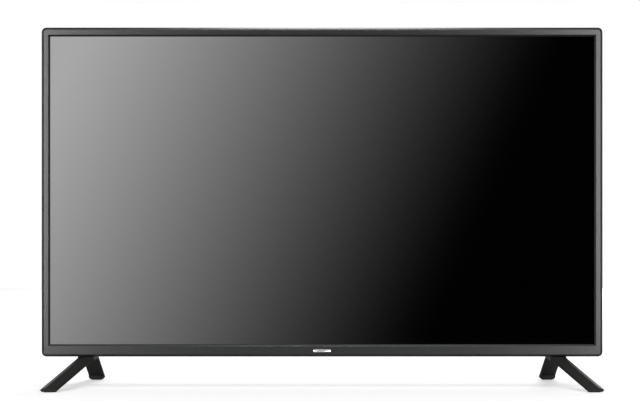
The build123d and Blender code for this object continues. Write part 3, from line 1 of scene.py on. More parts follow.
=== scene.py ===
import math
import bpy
import bmesh
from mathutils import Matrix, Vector


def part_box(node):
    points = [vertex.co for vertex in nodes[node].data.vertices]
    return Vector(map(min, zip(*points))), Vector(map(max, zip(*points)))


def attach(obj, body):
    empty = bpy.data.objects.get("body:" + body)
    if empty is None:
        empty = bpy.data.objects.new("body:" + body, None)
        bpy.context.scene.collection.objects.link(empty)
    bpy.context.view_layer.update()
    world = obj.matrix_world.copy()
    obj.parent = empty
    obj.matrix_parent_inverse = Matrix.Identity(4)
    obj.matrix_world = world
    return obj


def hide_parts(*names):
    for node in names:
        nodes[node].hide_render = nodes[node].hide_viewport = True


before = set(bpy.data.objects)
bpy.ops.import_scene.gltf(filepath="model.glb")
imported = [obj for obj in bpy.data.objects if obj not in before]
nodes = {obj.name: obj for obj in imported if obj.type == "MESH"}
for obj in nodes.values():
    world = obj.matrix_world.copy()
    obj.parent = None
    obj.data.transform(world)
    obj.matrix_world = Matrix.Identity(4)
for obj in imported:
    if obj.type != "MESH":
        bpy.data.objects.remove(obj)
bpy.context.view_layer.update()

# A flat screen television on two splayed feet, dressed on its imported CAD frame
millimetre = 0.001
rootBody = "set"
# Corners of a CAD mesh that are closer than this are one point
weldDistance = 0.002 * millimetre
# An edge runs along an axis when its ends differ there by more than this
running = 0.1 * millimetre
# A face looks along an axis when its normal has more than this share of it
facing = 0.9


# Small tools for the selection and for finished pieces

def selectOnly(piece):
    bpy.ops.object.select_all(action="DESELECT")
    piece.select_set(True)
    bpy.context.view_layer.objects.active = piece


def applyModifiers(piece):
    selectOnly(piece)
    for modifier in list(piece.modifiers):
        bpy.ops.object.modifier_apply(modifier=modifier.name)


def settle(piece, name, body, material, replaced=()):
    # Bakes the place into the mesh, names the piece and ties it to its body
    selectOnly(piece)
    bpy.ops.object.transform_apply(location=True, rotation=True, scale=True)
    piece.name = name
    piece.data.name = name
    piece.data.materials.clear()
    piece.data.materials.append(material)
    if replaced:
        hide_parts(*replaced)
    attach(piece, body)
    return piece


def startEditing(piece, kind):
    # Enters edit mode with nothing selected, for the choice of faces or edges
    bpy.ops.object.mode_set(mode="EDIT")
    bpy.ops.mesh.select_mode(type=kind)
    bpy.ops.mesh.select_all(action="DESELECT")
    return bmesh.from_edit_mesh(piece.data)


def pickFaces(piece, test):
    # Stays in edit mode, with only those faces selected whose centre and normal pass the test
    grid = startEditing(piece, "FACE")
    for face in grid.faces:
        face.select = test(face.calc_center_median(), face.normal)
    bmesh.update_edit_mesh(piece.data)


def pickEdges(piece, test):
    # Stays in edit mode, with only those edges selected whose two ends pass the test
    grid = startEditing(piece, "EDGE")
    for edge in grid.edges:
        edge.select = test(*(vertex.co for vertex in edge.verts))
    bmesh.update_edit_mesh(piece.data)


def solidBoxes(name):
    # The lowest and highest corner of every separate solid in a CAD node
    grid = bmesh.new()
    grid.from_mesh(nodes[name].data)
    bmesh.ops.remove_doubles(grid, verts=grid.verts, dist=weldDistance)
    seen = set()
    boxes = []
    for start in grid.verts:
        if start in seen:
            continue
        seen.add(start)
        island, queue = [], [start]
        while queue:
            vertex = queue.pop()
            island.append(vertex.co.copy())
            for edge in vertex.link_edges:
                other = edge.other_vert(vertex)
                if other not in seen:
                    seen.add(other)
                    queue.append(other)
        low = Vector(min(point[axis] for point in island) for axis in range(3))
        high = Vector(max(point[axis] for point in island) for axis in range(3))
        boxes.append((low, high))
    grid.free()
    return boxes


# Materials: every one is a node tree on Object coordinates

textureLook = {
    "coarser": 6,
    "toneDetail": 4.0,
    "grainDetail": 2.0,
    "darkUpTo": 0.3,
    "lightFrom": 0.7,
    "edgeSamples": 4,
    "strength": 0.5,
    "specular": 0.5,
}


def startMaterial(name):
    material = bpy.data.materials.new(name)
    material.use_nodes = True
    tree = material.node_tree
    shader = tree.nodes["Principled BSDF"]
    place = tree.nodes.new("ShaderNodeTexCoord")
    return material, tree, shader, place.outputs["Object"]


def noise(tree, place, scale, detail, stretch=(1, 1, 1)):
    mapping = tree.nodes.new("ShaderNodeMapping")
    mapping.inputs["Scale"].default_value = stretch
    tree.links.new(place, mapping.inputs["Vector"])
    texture = tree.nodes.new("ShaderNodeTexNoise")
    texture.inputs["Scale"].default_value = scale
    texture.inputs["Detail"].default_value = detail
    tree.links.new(mapping.outputs["Vector"], texture.inputs["Vector"])
    return texture.outputs["Fac"]


def grainPair(tree, place, grain, stretch):
    # A coarse noise for the tone, and a fine one for the roughness and the bump
    look = textureLook
    tone = noise(tree, place, grain / look["coarser"], look["toneDetail"], stretch)
    fine = noise(tree, place, grain, look["grainDetail"], stretch)
    return tone, fine


def spread(tree, value, low, high, start=0.0, end=1.0):
    # Maps what lies between start and end to the range from low to high
    ranged = tree.nodes.new("ShaderNodeMapRange")
    ranged.inputs["From Min"].default_value = start
    ranged.inputs["From Max"].default_value = end
    ranged.inputs["To Min"].default_value = low
    ranged.inputs["To Max"].default_value = high
    tree.links.new(value, ranged.inputs["Value"])
    return ranged.outputs["Result"]


def twoColours(tree, value, dark, light):
    ramp = tree.nodes.new("ShaderNodeValToRGB")
    ramp.color_ramp.elements[0].position = textureLook["darkUpTo"]
    ramp.color_ramp.elements[1].position = textureLook["lightFrom"]
    ramp.color_ramp.elements[0].color = (*dark, 1)
    ramp.color_ramp.elements[1].color = (*light, 1)
    tree.links.new(value, ramp.inputs["Fac"])
    return ramp.outputs["Color"]


def bump(tree, shader, height, distance, strength, rounding=None):
    # A fine relief, over edges that look rounded where a rounding is given
    bumpNode = tree.nodes.new("ShaderNodeBump")
    bumpNode.inputs["Distance"].default_value = distance
    bumpNode.inputs["Strength"].default_value = strength
    tree.links.new(height, bumpNode.inputs["Height"])
    if rounding:
        edge = tree.nodes.new("ShaderNodeBevel")
        edge.samples = textureLook["edgeSamples"]
        edge.inputs["Radius"].default_value = rounding
        tree.links.new(edge.outputs["Normal"], bumpNode.inputs["Normal"])
    tree.links.new(bumpNode.outputs["Normal"], shader.inputs["Normal"])


def finish(name, look):
    # The shared recipe: two close tones, a varied roughness and a fine bump
    material, tree, shader, place = startMaterial(name)
    shader.inputs["Metallic"].default_value = look.get("metallic", 0.0)
    shader.inputs["Specular IOR Level"].default_value = look.get("specular", textureLook["specular"])
    tone, fine = grainPair(tree, place, look["grain"], look.get("stretch", (1, 1, 1)))
    tree.links.new(twoColours(tree, tone, look["dark"], look["light"]), shader.inputs["Base Color"])
    tree.links.new(spread(tree, fine, *look["roughness"]), shader.inputs["Roughness"])
    bump(tree, shader, fine, look["depth"], textureLook["strength"], look.get("rounding"))
    return material


def dress(material, *names):
    for name in names:
        nodes[name].data.materials.clear()
        nodes[name].data.materials.append(material)


screenLook = {
    "tone": (0.0010, 0.0010, 0.0011),
    "roughness": (0.045, 0.06),
    "grain": 900.0,
    "detail": 3.0,
    "specular": 0.5,
}


def screenGlass():
    look = screenLook
    material, tree, shader, place = startMaterial("screenGlass")
    shader.inputs["Base Color"].default_value = (*look["tone"], 1)
    shader.inputs["Specular IOR Level"].default_value = look["specular"]
    fine = noise(tree, place, look["grain"], look["detail"])
    tree.links.new(spread(tree, fine, *look["roughness"]), shader.inputs["Roughness"])
    return material


bezelLook = {
    "dark": (0.0085, 0.0093, 0.0093),
    "light": (0.0115, 0.0123, 0.0123),
    "gloss": (0.25, 0.27),
    "matte": (0.75, 0.85),
    # The inner slope's colour is painted shade, darker than the face's tones
    "slope": (0.003, 0.0032, 0.0032),
    "matteFrom": 0.1 * millimetre,
    "matteTo": 0.4 * millimetre,
    "grain": 700.0,
    "streak": (0.02, 1.0, 1.0),
    "grainDepth": 0.01 * millimetre,
    "grainStrength": 0.2,
    "rounding": 1.2 * millimetre,
}


def bezelPaint():
    # Satin paint on the face, and a matte inner slope down to the picture, darkened with painted shade
    look = bezelLook
    material, tree, shader, place = startMaterial("bezelPaint")
    tone, fine = grainPair(tree, place, look["grain"], look["streak"])
    parts = tree.nodes.new("ShaderNodeSeparateXYZ")
    tree.links.new(place, parts.inputs["Vector"])
    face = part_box("front_bezel")[0].y
    # The mask below the face's level: there the slope turns matte and takes the painted shade
    deep = spread(tree, parts.outputs["Y"], 0.0, 1.0, face + look["matteFrom"], face + look["matteTo"])
    blend = tree.nodes.new("ShaderNodeMix")
    tree.links.new(deep, blend.inputs["Factor"])
    tree.links.new(spread(tree, fine, *look["gloss"]), blend.inputs["A"])
    tree.links.new(spread(tree, fine, *look["matte"]), blend.inputs["B"])
    tree.links.new(blend.outputs["Result"], shader.inputs["Roughness"])
    # Painted shade: the slope's darker colour stands in for the shadow in the recess down to the picture
    toneAndPaintedShade = tree.nodes.new("ShaderNodeMix")
    toneAndPaintedShade.data_type = "RGBA"
    tree.links.new(deep, toneAndPaintedShade.inputs["Factor"])
    tree.links.new(twoColours(tree, tone, look["dark"], look["light"]), toneAndPaintedShade.inputs["A"])
    toneAndPaintedShade.inputs["B"].default_value = (*look["slope"], 1)
    tree.links.new(toneAndPaintedShade.outputs["Result"], shader.inputs["Base Color"])
    bump(tree, shader, fine, look["grainDepth"], look["grainStrength"], look["rounding"])
    return material


# Every finish by where it shows: tones, roughness, grain, its relief and the CAD nodes that wear it
finishes = {
    "front": {
        "frameBlack": {
            "dark": (0.007, 0.007, 0.008),
            "light": (0.01, 0.01, 0.011),
            "roughness": (0.2, 0.26),
            "grain": 900,
            "depth": 0.005 * millimetre,
            "rounding": 2.2 * millimetre,
            "specular": 0.35,
            "nodes": ("outer_frame",),
        },
        "tintedWindow": {
            "dark": (0.02, 0.004, 0.004),
            "light": (0.03, 0.006, 0.006),
            "roughness": (0.05, 0.08),
            "grain": 500,
            "depth": 0,
            "nodes": ("receiver_window",),
        },
        "blackFoam": {
            "dark": (0.006, 0.006, 0.006),
            "light": (0.014, 0.014, 0.014),
            "roughness": (0.9, 1.0),
            "grain": 2200,
            "depth": 0.1 * millimetre,
            "nodes": ("foam_strip",),
        },
        "footBlack": {
            "dark": (0.007, 0.007, 0.0065),
            "light": (0.01, 0.01, 0.009),
            "roughness": (0.64, 0.7),
            "grain": 1500,
            "depth": 0.02 * millimetre,
            "rounding": 0.8 * millimetre,
            "specular": 0.3,
            "nodes": ("stand_foot_left", "stand_foot_right"),
        },
        "blackRubber": {
            "dark": (0.012, 0.012, 0.012),
            "light": (0.02, 0.02, 0.02),
            "roughness": (0.7, 0.85),
            "grain": 1600,
            "depth": 0.06 * millimetre,
            "nodes": ("foot_pads", "speaker_surrounds"),
        },
    },
    "back": {
        "coverBlack": {
            "dark": (0.014, 0.014, 0.015),
            "light": (0.02, 0.02, 0.021),
            "roughness": (0.42, 0.55),
            "grain": 1400,
            "depth": 0.05 * millimetre,
            "rounding": 0.8 * millimetre,
            "nodes": ("rear_cover", "side_jack_plate", "lower_jack_plate"),
        },
        "blackPlastic": {
            "dark": (0.012, 0.012, 0.012),
            "light": (0.02, 0.02, 0.02),
            "roughness": (0.35, 0.45),
            "grain": 900,
            "depth": 0.02 * millimetre,
            "nodes": (
                "guide_panel", "headphone_jack", "lan_socket", "mains_inlet", "speaker_boxes",
                "speaker_frames", "key_bridge", "joystick_base", "joystick_stem", "joystick_cap",
            ),
        },
        "zincSteel": {
            "dark": (0.42, 0.43, 0.44),
            "light": (0.6, 0.61, 0.62),
            "roughness": (0.3, 0.5),
            "grain": 260,
            "depth": 0.01 * millimetre,
            "metallic": 1.0,
            "nodes": ("back_chassis", "wall_rails", "stand_brackets"),
        },
        "platedMetal": {
            "dark": (0.62, 0.61, 0.58),
            "light": (0.72, 0.71, 0.69),
            "roughness": (0.22, 0.34),
            "grain": 800,
            "depth": 0.005 * millimetre,
            "metallic": 1.0,
            "nodes": (
                "wall_nuts", "hdmi_sockets", "usb_socket", "phono_jacks", "coax_socket",
                "timing_lid", "board_screws", "speaker_magnets", "badge_bar",
            ),
        },
        "darkSteel": {
            "dark": (0.03, 0.03, 0.032),
            "light": (0.05, 0.05, 0.052),
            "roughness": (0.35, 0.45),
            "grain": 900,
            "depth": 0.01 * millimetre,
            "metallic": 0.9,
            "nodes": ("cover_screws", "stand_screws"),
        },
    },
    "inside": {
        "whitePlastic": {
            "dark": (0.78, 0.78, 0.76),
            "light": (0.84, 0.84, 0.82),
            "roughness": (0.5, 0.6),
            "grain": 700,
            "depth": 0.01 * millimetre,
            "nodes": (
                "reflector_tray", "diffuser_posts", "joystick_gimbal",
                "light_sheets", "diffuser_plate",
            ),
        },
        "boardGreen": {
            "dark": (0.012, 0.09, 0.035),
            "light": (0.02, 0.13, 0.05),
            "roughness": (0.3, 0.42),
            "grain": 300,
            "depth": 0.02 * millimetre,
            "nodes": ("main_board", "timing_board", "source_boards", "key_board", "receiver_board"),
        },
        "boardTan": {
            "dark": (0.42, 0.28, 0.13),
            "light": (0.5, 0.34, 0.17),
            "roughness": (0.45, 0.6),
            "grain": 400,
            "depth": 0.02 * millimetre,
            "nodes": ("power_board",),
        },
        "chipBlack": {
            "dark": (0.015, 0.015, 0.015),
            "light": (0.03, 0.03, 0.03),
            "roughness": (0.5, 0.65),
            "grain": 1200,
            "depth": 0.02 * millimetre,
            "nodes": ("main_chips", "power_capacitors", "speaker_cone_left", "speaker_cone_right"),
        },
        "bareAluminium": {
            "dark": (0.68, 0.68, 0.69),
            "light": (0.76, 0.76, 0.77),
            "roughness": (0.3, 0.4),
            "grain": 900,
            "depth": 0.01 * millimetre,
            "metallic": 1.0,
            "stretch": (0.05, 1, 1),
            "nodes": ("main_heatsink", "power_heatsinks", "light_bars"),
        },
        "coilYellow": {
            "dark": (0.6, 0.42, 0.04),
            "light": (0.72, 0.52, 0.07),
            "roughness": (0.35, 0.5),
            "grain": 500,
            "depth": 0.03 * millimetre,
            "nodes": ("power_transformers", "light_chips"),
        },
        "clearLens": {
            "dark": (0.7, 0.74, 0.76),
            "light": (0.76, 0.8, 0.82),
            "roughness": (0.08, 0.14),
            "grain": 400,
            "depth": 0,
            "nodes": ("light_lenses",),
        },
        "filmAmber": {
            "dark": (0.42, 0.17, 0.02),
            "light": (0.5, 0.22, 0.03),
            "roughness": (0.2, 0.3),
            "grain": 600,
            "depth": 0.005 * millimetre,
            "nodes": ("source_films",),
        },
        "ribbonWhite": {
            "dark": (0.6, 0.61, 0.62),
            "light": (0.8, 0.8, 0.8),
            "roughness": (0.4, 0.5),
            "grain": 500,
            "depth": 0.01 * millimetre,
            "stretch": (4, 0.1, 0.1),
            "nodes": ("source_ribbons",),
        },
        "cableGrey": {
            "dark": (0.03, 0.03, 0.03),
            "light": (0.05, 0.05, 0.05),
            "roughness": (0.45, 0.6),
            "grain": 900,
            "depth": 0.03 * millimetre,
            "nodes": ("cables",),
        },
    },
    "small pieces": {
        "goldPlate": {
            "dark": (0.75, 0.5, 0.15),
            "light": (0.82, 0.58, 0.2),
            "roughness": (0.2, 0.3),
            "grain": 900,
            "depth": 0.003 * millimetre,
            "metallic": 1.0,
        },
        "brushedPlate": {
            "dark": (0.62, 0.61, 0.58),
            "light": (0.7, 0.69, 0.67),
            "roughness": (0.24, 0.32),
            "grain": 500,
            "depth": 0.0005 * millimetre,
            "metallic": 1.0,
            "stretch": (0.02, 1, 1),
        },
    },
}


def dressSet():
    print("dressing the screen and its border")
    dress(screenGlass(), "picture_panel")
    dress(bezelPaint(), "front_bezel")
    made = {}
    for group, looks in finishes.items():
        print("dressing the " + group)
        for name, look in looks.items():
            made[name] = finish(name, look)
            dress(made[name], *look.get("nodes", ()))
    print("adding the small pieces")
    makeBadgeBar(made["brushedPlate"])
    makeCoverScrews(made["darkSteel"])
    makeStandScrews(made["darkSteel"])
    makeRoundSockets(made["platedMetal"], made["blackPlastic"])
    makeFlatSockets(made["platedMetal"], made["blackPlastic"], made["goldPlate"])
    makeJoystickCap(made["blackPlastic"])
    makeInletPins(made["platedMetal"])


# Small pieces modelled here, which stand for plainer CAD nodes at the same places

def startCylinder(sides, radius, low, high):
    # A cylinder on the Z axis from one height to another
    bpy.ops.object.select_all(action="DESELECT")
    bpy.ops.mesh.primitive_cylinder_add(
        vertices=sides, radius=radius, depth=high - low, location=(0, 0, (low + high) / 2)
    )
    bpy.ops.object.transform_apply(location=True, rotation=True, scale=True)
    return bpy.context.object


def startBlock(low, high):
    # A block from its lowest to its highest corner
    bpy.ops.object.select_all(action="DESELECT")
    low, high = Vector(low), Vector(high)
    bpy.ops.mesh.primitive_cube_add(size=1, location=(low + high) / 2)
    bpy.context.object.scale = high - low
    bpy.ops.object.transform_apply(location=True, rotation=True, scale=True)
    return bpy.context.object


def hollow(piece, test, wall, depth):
    # Insets the picked face and pushes it in along its normal, for a bore or a mouth
    pickFaces(piece, test)
    bpy.ops.mesh.inset(thickness=wall)
    bpy.ops.mesh.extrude_region_shrink_fatten(TRANSFORM_OT_shrink_fatten={"value": -depth})
    bpy.ops.object.mode_set(mode="OBJECT")


edgeLook = {"bevelFrom": math.radians(40), "smoothUpTo": math.radians(35)}


def softenEdges(piece, width, segments=2):
    # Rounds every sharp edge and shades the rest smooth
    edges = piece.modifiers.new("edges", "BEVEL")
    edges.width = width
    edges.segments = segments
    edges.limit_method = "ANGLE"
    edges.angle_limit = edgeLook["bevelFrom"]
    applyModifiers(piece)
    bpy.ops.object.shade_smooth_by_angle(angle=edgeLook["smoothUpTo"])


def copyTo(first, name, places, turn, material, replaced=()):
    # A copy with its own mesh at every place, after which the pattern piece goes
    pieces = []
    for number, place in enumerate(places, 1):
        piece = first.copy()
        piece.data = first.data.copy()
        bpy.context.scene.collection.objects.link(piece)
        piece.location = place
        piece.rotation_euler = turn
        pieces.append(settle(piece, name + str(number), rootBody, material, replaced))
    bpy.data.objects.remove(first)
    return pieces


def facesUp(centre, normal):
    return normal.z > facing


def facesDown(centre, normal):
    return normal.z < -facing


def facesAside(centre, normal):
    return abs(normal.z) < 1 - facing


badgeLook = {
    "cornerShare": 0.46,
    "cornerSegments": 8,
    "frame": 0.5 * millimetre,
    "sunk": 0.16 * millimetre,
    "edge": 0.08 * millimetre,
}


def makeBadgeBar(material):
    # The plain bar on the lower border, with a thin raised frame
    look = badgeLook
    low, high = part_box("badge_bar")
    bar = startBlock(low, high)
    pickEdges(bar, lambda start, end: abs(start.y - end.y) > running)
    bpy.ops.mesh.bevel(offset=(high.z - low.z) * look["cornerShare"], segments=look["cornerSegments"])
    pickFaces(bar, lambda centre, normal: normal.y < -facing)
    bpy.ops.mesh.inset(thickness=look["frame"])
    bpy.ops.mesh.extrude_region_shrink_fatten(TRANSFORM_OT_shrink_fatten={"value": -look["sunk"]})
    bpy.ops.object.mode_set(mode="OBJECT")
    softenEdges(bar, look["edge"])
    settle(bar, "badgeBar", rootBody, material, ("badge_bar",))


screwLook = {
    "sides": 28,
    "domeShare": 0.3,
    "domeInsetShare": 0.42,
    "armShare": 0.6,
    "slotShare": 0.2,
    "recessShare": 0.62,
    "recessTaper": 0.55,
    "pointTaper": 0.3,
    "edge": 0.15 * millimetre,
    "point": 0.9 * millimetre,
}


def makeRecess(radius, height, top):
    # The cross that the driver fits, narrower at its floor
    look = screwLook
    half = radius * look["slotShare"] / 2
    deep = height * look["recessShare"]
    cross = startBlock((-half, -half, top - deep), (half, half, top + deep))
    pickFaces(cross, facesAside)
    bpy.ops.mesh.extrude_faces_move(TRANSFORM_OT_shrink_fatten={"value": radius * look["armShare"]})
    pickFaces(cross, facesDown)
    bpy.ops.transform.resize(value=(look["recessTaper"], look["recessTaper"], 1))
    bpy.ops.object.mode_set(mode="OBJECT")
    return cross


def makeScrew(headRadius, headHeight, shaftRadius, shaftLength):
    # A pan-head screw that stands on its point, with its seat at the origin
    look = screwLook
    dome = headHeight * look["domeShare"]
    screw = startCylinder(look["sides"], headRadius, 0, headHeight - dome)
    pickFaces(screw, facesUp)
    bpy.ops.mesh.inset(thickness=headRadius * look["domeInsetShare"])
    bpy.ops.transform.translate(value=(0, 0, dome))
    pickFaces(screw, facesDown)
    bpy.ops.mesh.inset(thickness=headRadius - shaftRadius)
    bpy.ops.mesh.extrude_region_move(TRANSFORM_OT_translate={"value": (0, 0, look["point"] - shaftLength)})
    bpy.ops.mesh.extrude_region_move(TRANSFORM_OT_translate={"value": (0, 0, -look["point"])})
    bpy.ops.transform.resize(value=(look["pointTaper"], look["pointTaper"], 1))
    bpy.ops.object.mode_set(mode="OBJECT")
    softenEdges(screw, look["edge"])
    recess = makeRecess(headRadius, headHeight, headHeight)
    cut = screw.modifiers.new("recess", "BOOLEAN")
    cut.operation = "DIFFERENCE"
    cut.solver = "EXACT"
    cut.object = recess
    applyModifiers(screw)
    bpy.data.objects.remove(recess)
    return screw


coverScrewLook = {"headHeight": 1.6 * millimetre, "shaftRadius": 1.5 * millimetre}
standScrewLook = {"headHeight": 2.4 * millimetre, "shaftRadius": 1.95 * millimetre}


def makeCoverScrews(material):
    # Driven forwards through the back: the shorter kind into the rails, the longer one into the chassis
    look = coverScrewLook
    kinds = {}
    for low, high in solidBoxes("cover_screws"):
        kinds.setdefault(round((high.y - low.y) / millimetre, 1), []).append((low, high))
    for kind, (length, boxes) in enumerate(sorted(kinds.items())):
        low, high = boxes[0]
        shaft = length * millimetre - look["headHeight"]
        screw = makeScrew((high.x - low.x) / 2, look["headHeight"], look["shaftRadius"], shaft)
        places = [
            ((low.x + high.x) / 2, high.y - look["headHeight"], (low.z + high.z) / 2) for low, high in boxes
        ]
        name = "railScrew" if kind == 0 else "coverScrew"
        copyTo(screw, name, places, (math.radians(-90), 0, 0), material, ("cover_screws",))


def makeStandScrews(material):
    look = standScrewLook
    boxes = solidBoxes("stand_screws")
    low, high = boxes[0]
    shaft = high.z - low.z - look["headHeight"]
    screw = makeScrew((high.x - low.x) / 2, look["headHeight"], look["shaftRadius"], shaft)
    places = [((low.x + high.x) / 2, (low.y + high.y) / 2, low.z + look["headHeight"]) for low, high in boxes]
    copyTo(screw, "standScrew", places, (math.radians(180), 0, 0), material, ("stand_screws",))


# Round sockets under the main board: a metal shell, a plastic insert and the block behind them
roundLook = {"sides": 40, "mouthShare": 0.8, "insertShare": 0.85, "boreShare": 0.6}
phonoLook = {
    "ring": 4.15 * millimetre,
    "blockHigh": 8.0 * millimetre,
    "wall": 0.45 * millimetre,
    "sunk": 0.9 * millimetre,
    "bore": 1.65 * millimetre,
    "edge": 0.12 * millimetre,
    "colours": {"White": (0.72, 0.72, 0.7), "Red": (0.5, 0.02, 0.015), "Yellow": (0.75, 0.5, 0.03)},
    "lighter": 1.15,
    "insert": {"roughness": (0.3, 0.4), "grain": 900, "depth": 0.01 * millimetre},
}
coaxLook = {
    "ring": 4.7 * millimetre,
    "blockHigh": 9.0 * millimetre,
    "wall": 0.6 * millimetre,
    "sunk": 1.6 * millimetre,
    "bore": 1.1 * millimetre,
    "edge": 0.12 * millimetre,
    "insert": {
        "dark": (0.7, 0.68, 0.6),
        "light": (0.78, 0.76, 0.68),
        "roughness": (0.4, 0.5),
        "grain": 900,
        "depth": 0.01 * millimetre,
    },
}


def makeRoundSocket(look, name, low, high, shellMaterial, insertMaterial, blockMaterial, node):
    x, y = (low.x + high.x) / 2, (low.y + high.y) / 2
    mouth = high.z - look["blockHigh"]
    block = startBlock((low.x, low.y, mouth), (high.x, high.y, high.z))
    softenEdges(block, 2 * look["edge"])
    settle(block, name + "Block", rootBody, blockMaterial, (node,))
    long = mouth - low.z
    sides = roundLook["sides"]
    shell = startCylinder(sides, look["ring"], 0, long)
    hollow(shell, facesDown, look["wall"], roundLook["mouthShare"] * long)
    softenEdges(shell, look["edge"])
    shell.location = (x, y, low.z)
    settle(shell, name + "Shell", rootBody, shellMaterial, (node,))
    radius = look["ring"] - look["wall"]
    insert = startCylinder(sides, radius, look["sunk"], roundLook["insertShare"] * long)
    hollow(insert, facesDown, radius - look["bore"], roundLook["boreShare"] * long)
    softenEdges(insert, look["edge"])
    insert.location = (x, y, low.z)
    settle(insert, name + "Insert", rootBody, insertMaterial, (node,))


def makeRoundSockets(metal, plastic):
    boxes = sorted(solidBoxes("phono_jacks"), key=lambda box: box[0].x)
    for (low, high), (colour, tone) in zip(boxes, phonoLook["colours"].items()):
        light = tuple(phonoLook["lighter"] * value for value in tone)
        insert = finish("phono" + colour, {"dark": tone, "light": light, **phonoLook["insert"]})
        makeRoundSocket(phonoLook, "phono" + colour, low, high, metal, insert, plastic, "phono_jacks")
    pale = finish("aerialInsert", coaxLook["insert"])
    low, high = solidBoxes("coax_socket")[0]
    makeRoundSocket(coaxLook, "aerial", low, high, metal, pale, plastic, "coax_socket")


# Flat sockets: a folded metal shell, a tongue and its contacts, modelled with the mouth down
flatLook = {
    "cornerSegments": 2,
    "tongueTaper": 0.3 * millimetre,
    "tongueNose": 0.25 * millimetre,
    "contactInsetShare": 0.2,
    "rowSpareShare": 0.5,
}
videoLook = {
    "wall": 0.5 * millimetre,
    "corner": 1.1 * millimetre,
    "tongue": 1.2 * millimetre,
    "tongueGap": 1.0 * millimetre,
    "tongueShift": 0.0,
    "setback": 1.5 * millimetre,
    "contacts": 9,
    "contactWidth": 0.5 * millimetre,
    "contactProud": 0.06 * millimetre,
    "edge": 0.1 * millimetre,
}
dataLook = {
    "wall": 0.45 * millimetre,
    "corner": 0.3 * millimetre,
    "tongue": 1.9 * millimetre,
    "tongueGap": 0.45 * millimetre,
    "tongueShift": -1.6 * millimetre,
    "setback": 0.5 * millimetre,
    "contacts": 4,
    "contactWidth": 1.2 * millimetre,
    "contactProud": 0.06 * millimetre,
    "edge": 0.1 * millimetre,
}


def makeFlatSocket(look, name, long, tall, deep, place, turn, metal, plastic, gold, node):
    # X is the long side and Y the short one, and the mouth looks down
    shell = startBlock((-long / 2, -tall / 2, 0), (long / 2, tall / 2, deep))
    pickEdges(shell, lambda start, end: abs(start.z - end.z) > running and start.y > 0)
    bpy.ops.mesh.bevel(offset=look["corner"], segments=flatLook["cornerSegments"])
    hollow(shell, facesDown, look["wall"], deep - look["wall"])
    softenEdges(shell, look["edge"])
    half = long / 2 - look["wall"] - look["tongueGap"]
    middle = look["tongueShift"]
    back, front = middle + look["tongue"] / 2, middle - look["tongue"] / 2
    tongue = startBlock((-half, front, look["setback"]), (half, back, deep - look["wall"]))
    pickFaces(tongue, facesDown)
    bpy.ops.mesh.inset(thickness=flatLook["tongueTaper"])
    bpy.ops.transform.translate(value=(0, 0, -flatLook["tongueNose"]))
    bpy.ops.object.mode_set(mode="OBJECT")
    softenEdges(tongue, look["edge"])
    spare = flatLook["rowSpareShare"]
    step = 2 * half / (look["contacts"] + spare)
    wide = look["contactWidth"] / 2
    first = -half + (1 + spare) / 2 * step
    contacts = startBlock(
        (first - wide, back - look["contactProud"], look["setback"] + look["contactWidth"]),
        (first + wide, back + look["contactProud"], deep / 2),
    )
    pickFaces(contacts, lambda centre, normal: normal.y > facing)
    bpy.ops.mesh.inset(thickness=flatLook["contactInsetShare"] * look["contactWidth"])
    bpy.ops.object.mode_set(mode="OBJECT")
    row = contacts.modifiers.new("row", "ARRAY")
    row.count = look["contacts"]
    row.use_relative_offset = False
    row.use_constant_offset = True
    row.constant_offset_displace = (step, 0, 0)
    applyModifiers(contacts)
    for piece, part, material in (
        (shell, "Shell", metal), (tongue, "Tongue", plastic), (contacts, "Contacts", gold)
    ):
        piece.location = place
        piece.rotation_euler = turn
        settle(piece, name + part, rootBody, material, (node,))


def makeFlatSockets(metal, plastic, gold):
    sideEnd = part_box("side_jack_plate")[1].x
    for look, node, name in ((videoLook, "hdmi_sockets", "video"), (dataLook, "usb_socket", "data")):
        for number, (low, high) in enumerate(solidBoxes(node), 1):
            size = high - low
            middle = (low + high) / 2
            if low.x < sideEnd:
                # On the side: the mouth looks to the left and the long side stands
                place, turn = (low.x, middle.y, middle.z), (0, math.radians(90), 0)
                long, deep = size.z, size.x
            else:
                place, turn = (middle.x, middle.y, low.z), (0, 0, 0)
                long, deep = size.x, size.z
            makeFlatSocket(
                look, name + str(number), long, size.y, deep, place, turn, metal, plastic, gold, node
            )


capLook = {
    "sides": 48,
    "grip": 0.16 * millimetre,
    "gripInset": 0.12 * millimetre,
    "rim": 0.8 * millimetre,
    "dish": 0.5 * millimetre,
    "dishRimShare": 0.3,
    "dishInsetShare": 0.35,
    "sideShare": 0.8,
    "bore": 1.45 * millimetre,
    "boreDepth": 4.2 * millimetre,
    "edge": 0.12 * millimetre,
}


def makeJoystickCap(material):
    # A dished thumb cap with a ribbed side, on the stem of the joystick
    look = capLook
    low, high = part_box("joystick_cap")
    middle = (low + high) / 2
    radius = (high.x - low.x) / 2
    cap = startCylinder(look["sides"], radius, low.z + look["rim"], high.z)
    pickFaces(cap, facesDown)
    bpy.ops.mesh.extrude_region_move(TRANSFORM_OT_translate={"value": (0, 0, -look["rim"])})
    share = (radius - look["rim"]) / radius
    bpy.ops.transform.resize(value=(share, share, 1), center_override=(0, 0, low.z))
    bpy.ops.mesh.inset(thickness=look["dishRimShare"] * radius)
    bpy.ops.mesh.inset(thickness=look["dishInsetShare"] * radius)
    bpy.ops.transform.translate(value=(0, 0, look["dish"]))
    bpy.ops.object.mode_set(mode="OBJECT")
    hollow(cap, facesUp, radius - look["bore"], look["boreDepth"])

    def everySecondRib(centre, normal):
        number = round(math.degrees(math.atan2(centre.y, centre.x)) * look["sides"] / 360 - 0.5)
        outside = centre.xy.length > look["sideShare"] * radius
        return facesAside(centre, normal) and outside and number % 2 == 0

    pickFaces(cap, everySecondRib)
    bpy.ops.mesh.inset(thickness=look["gripInset"], depth=-look["grip"], use_individual=True)
    bpy.ops.object.mode_set(mode="OBJECT")
    softenEdges(cap, look["edge"], 1)
    cap.location = (middle.x, middle.y, 0)
    settle(cap, "joystickCap", "joystick_button", material, ("joystick_cap",))


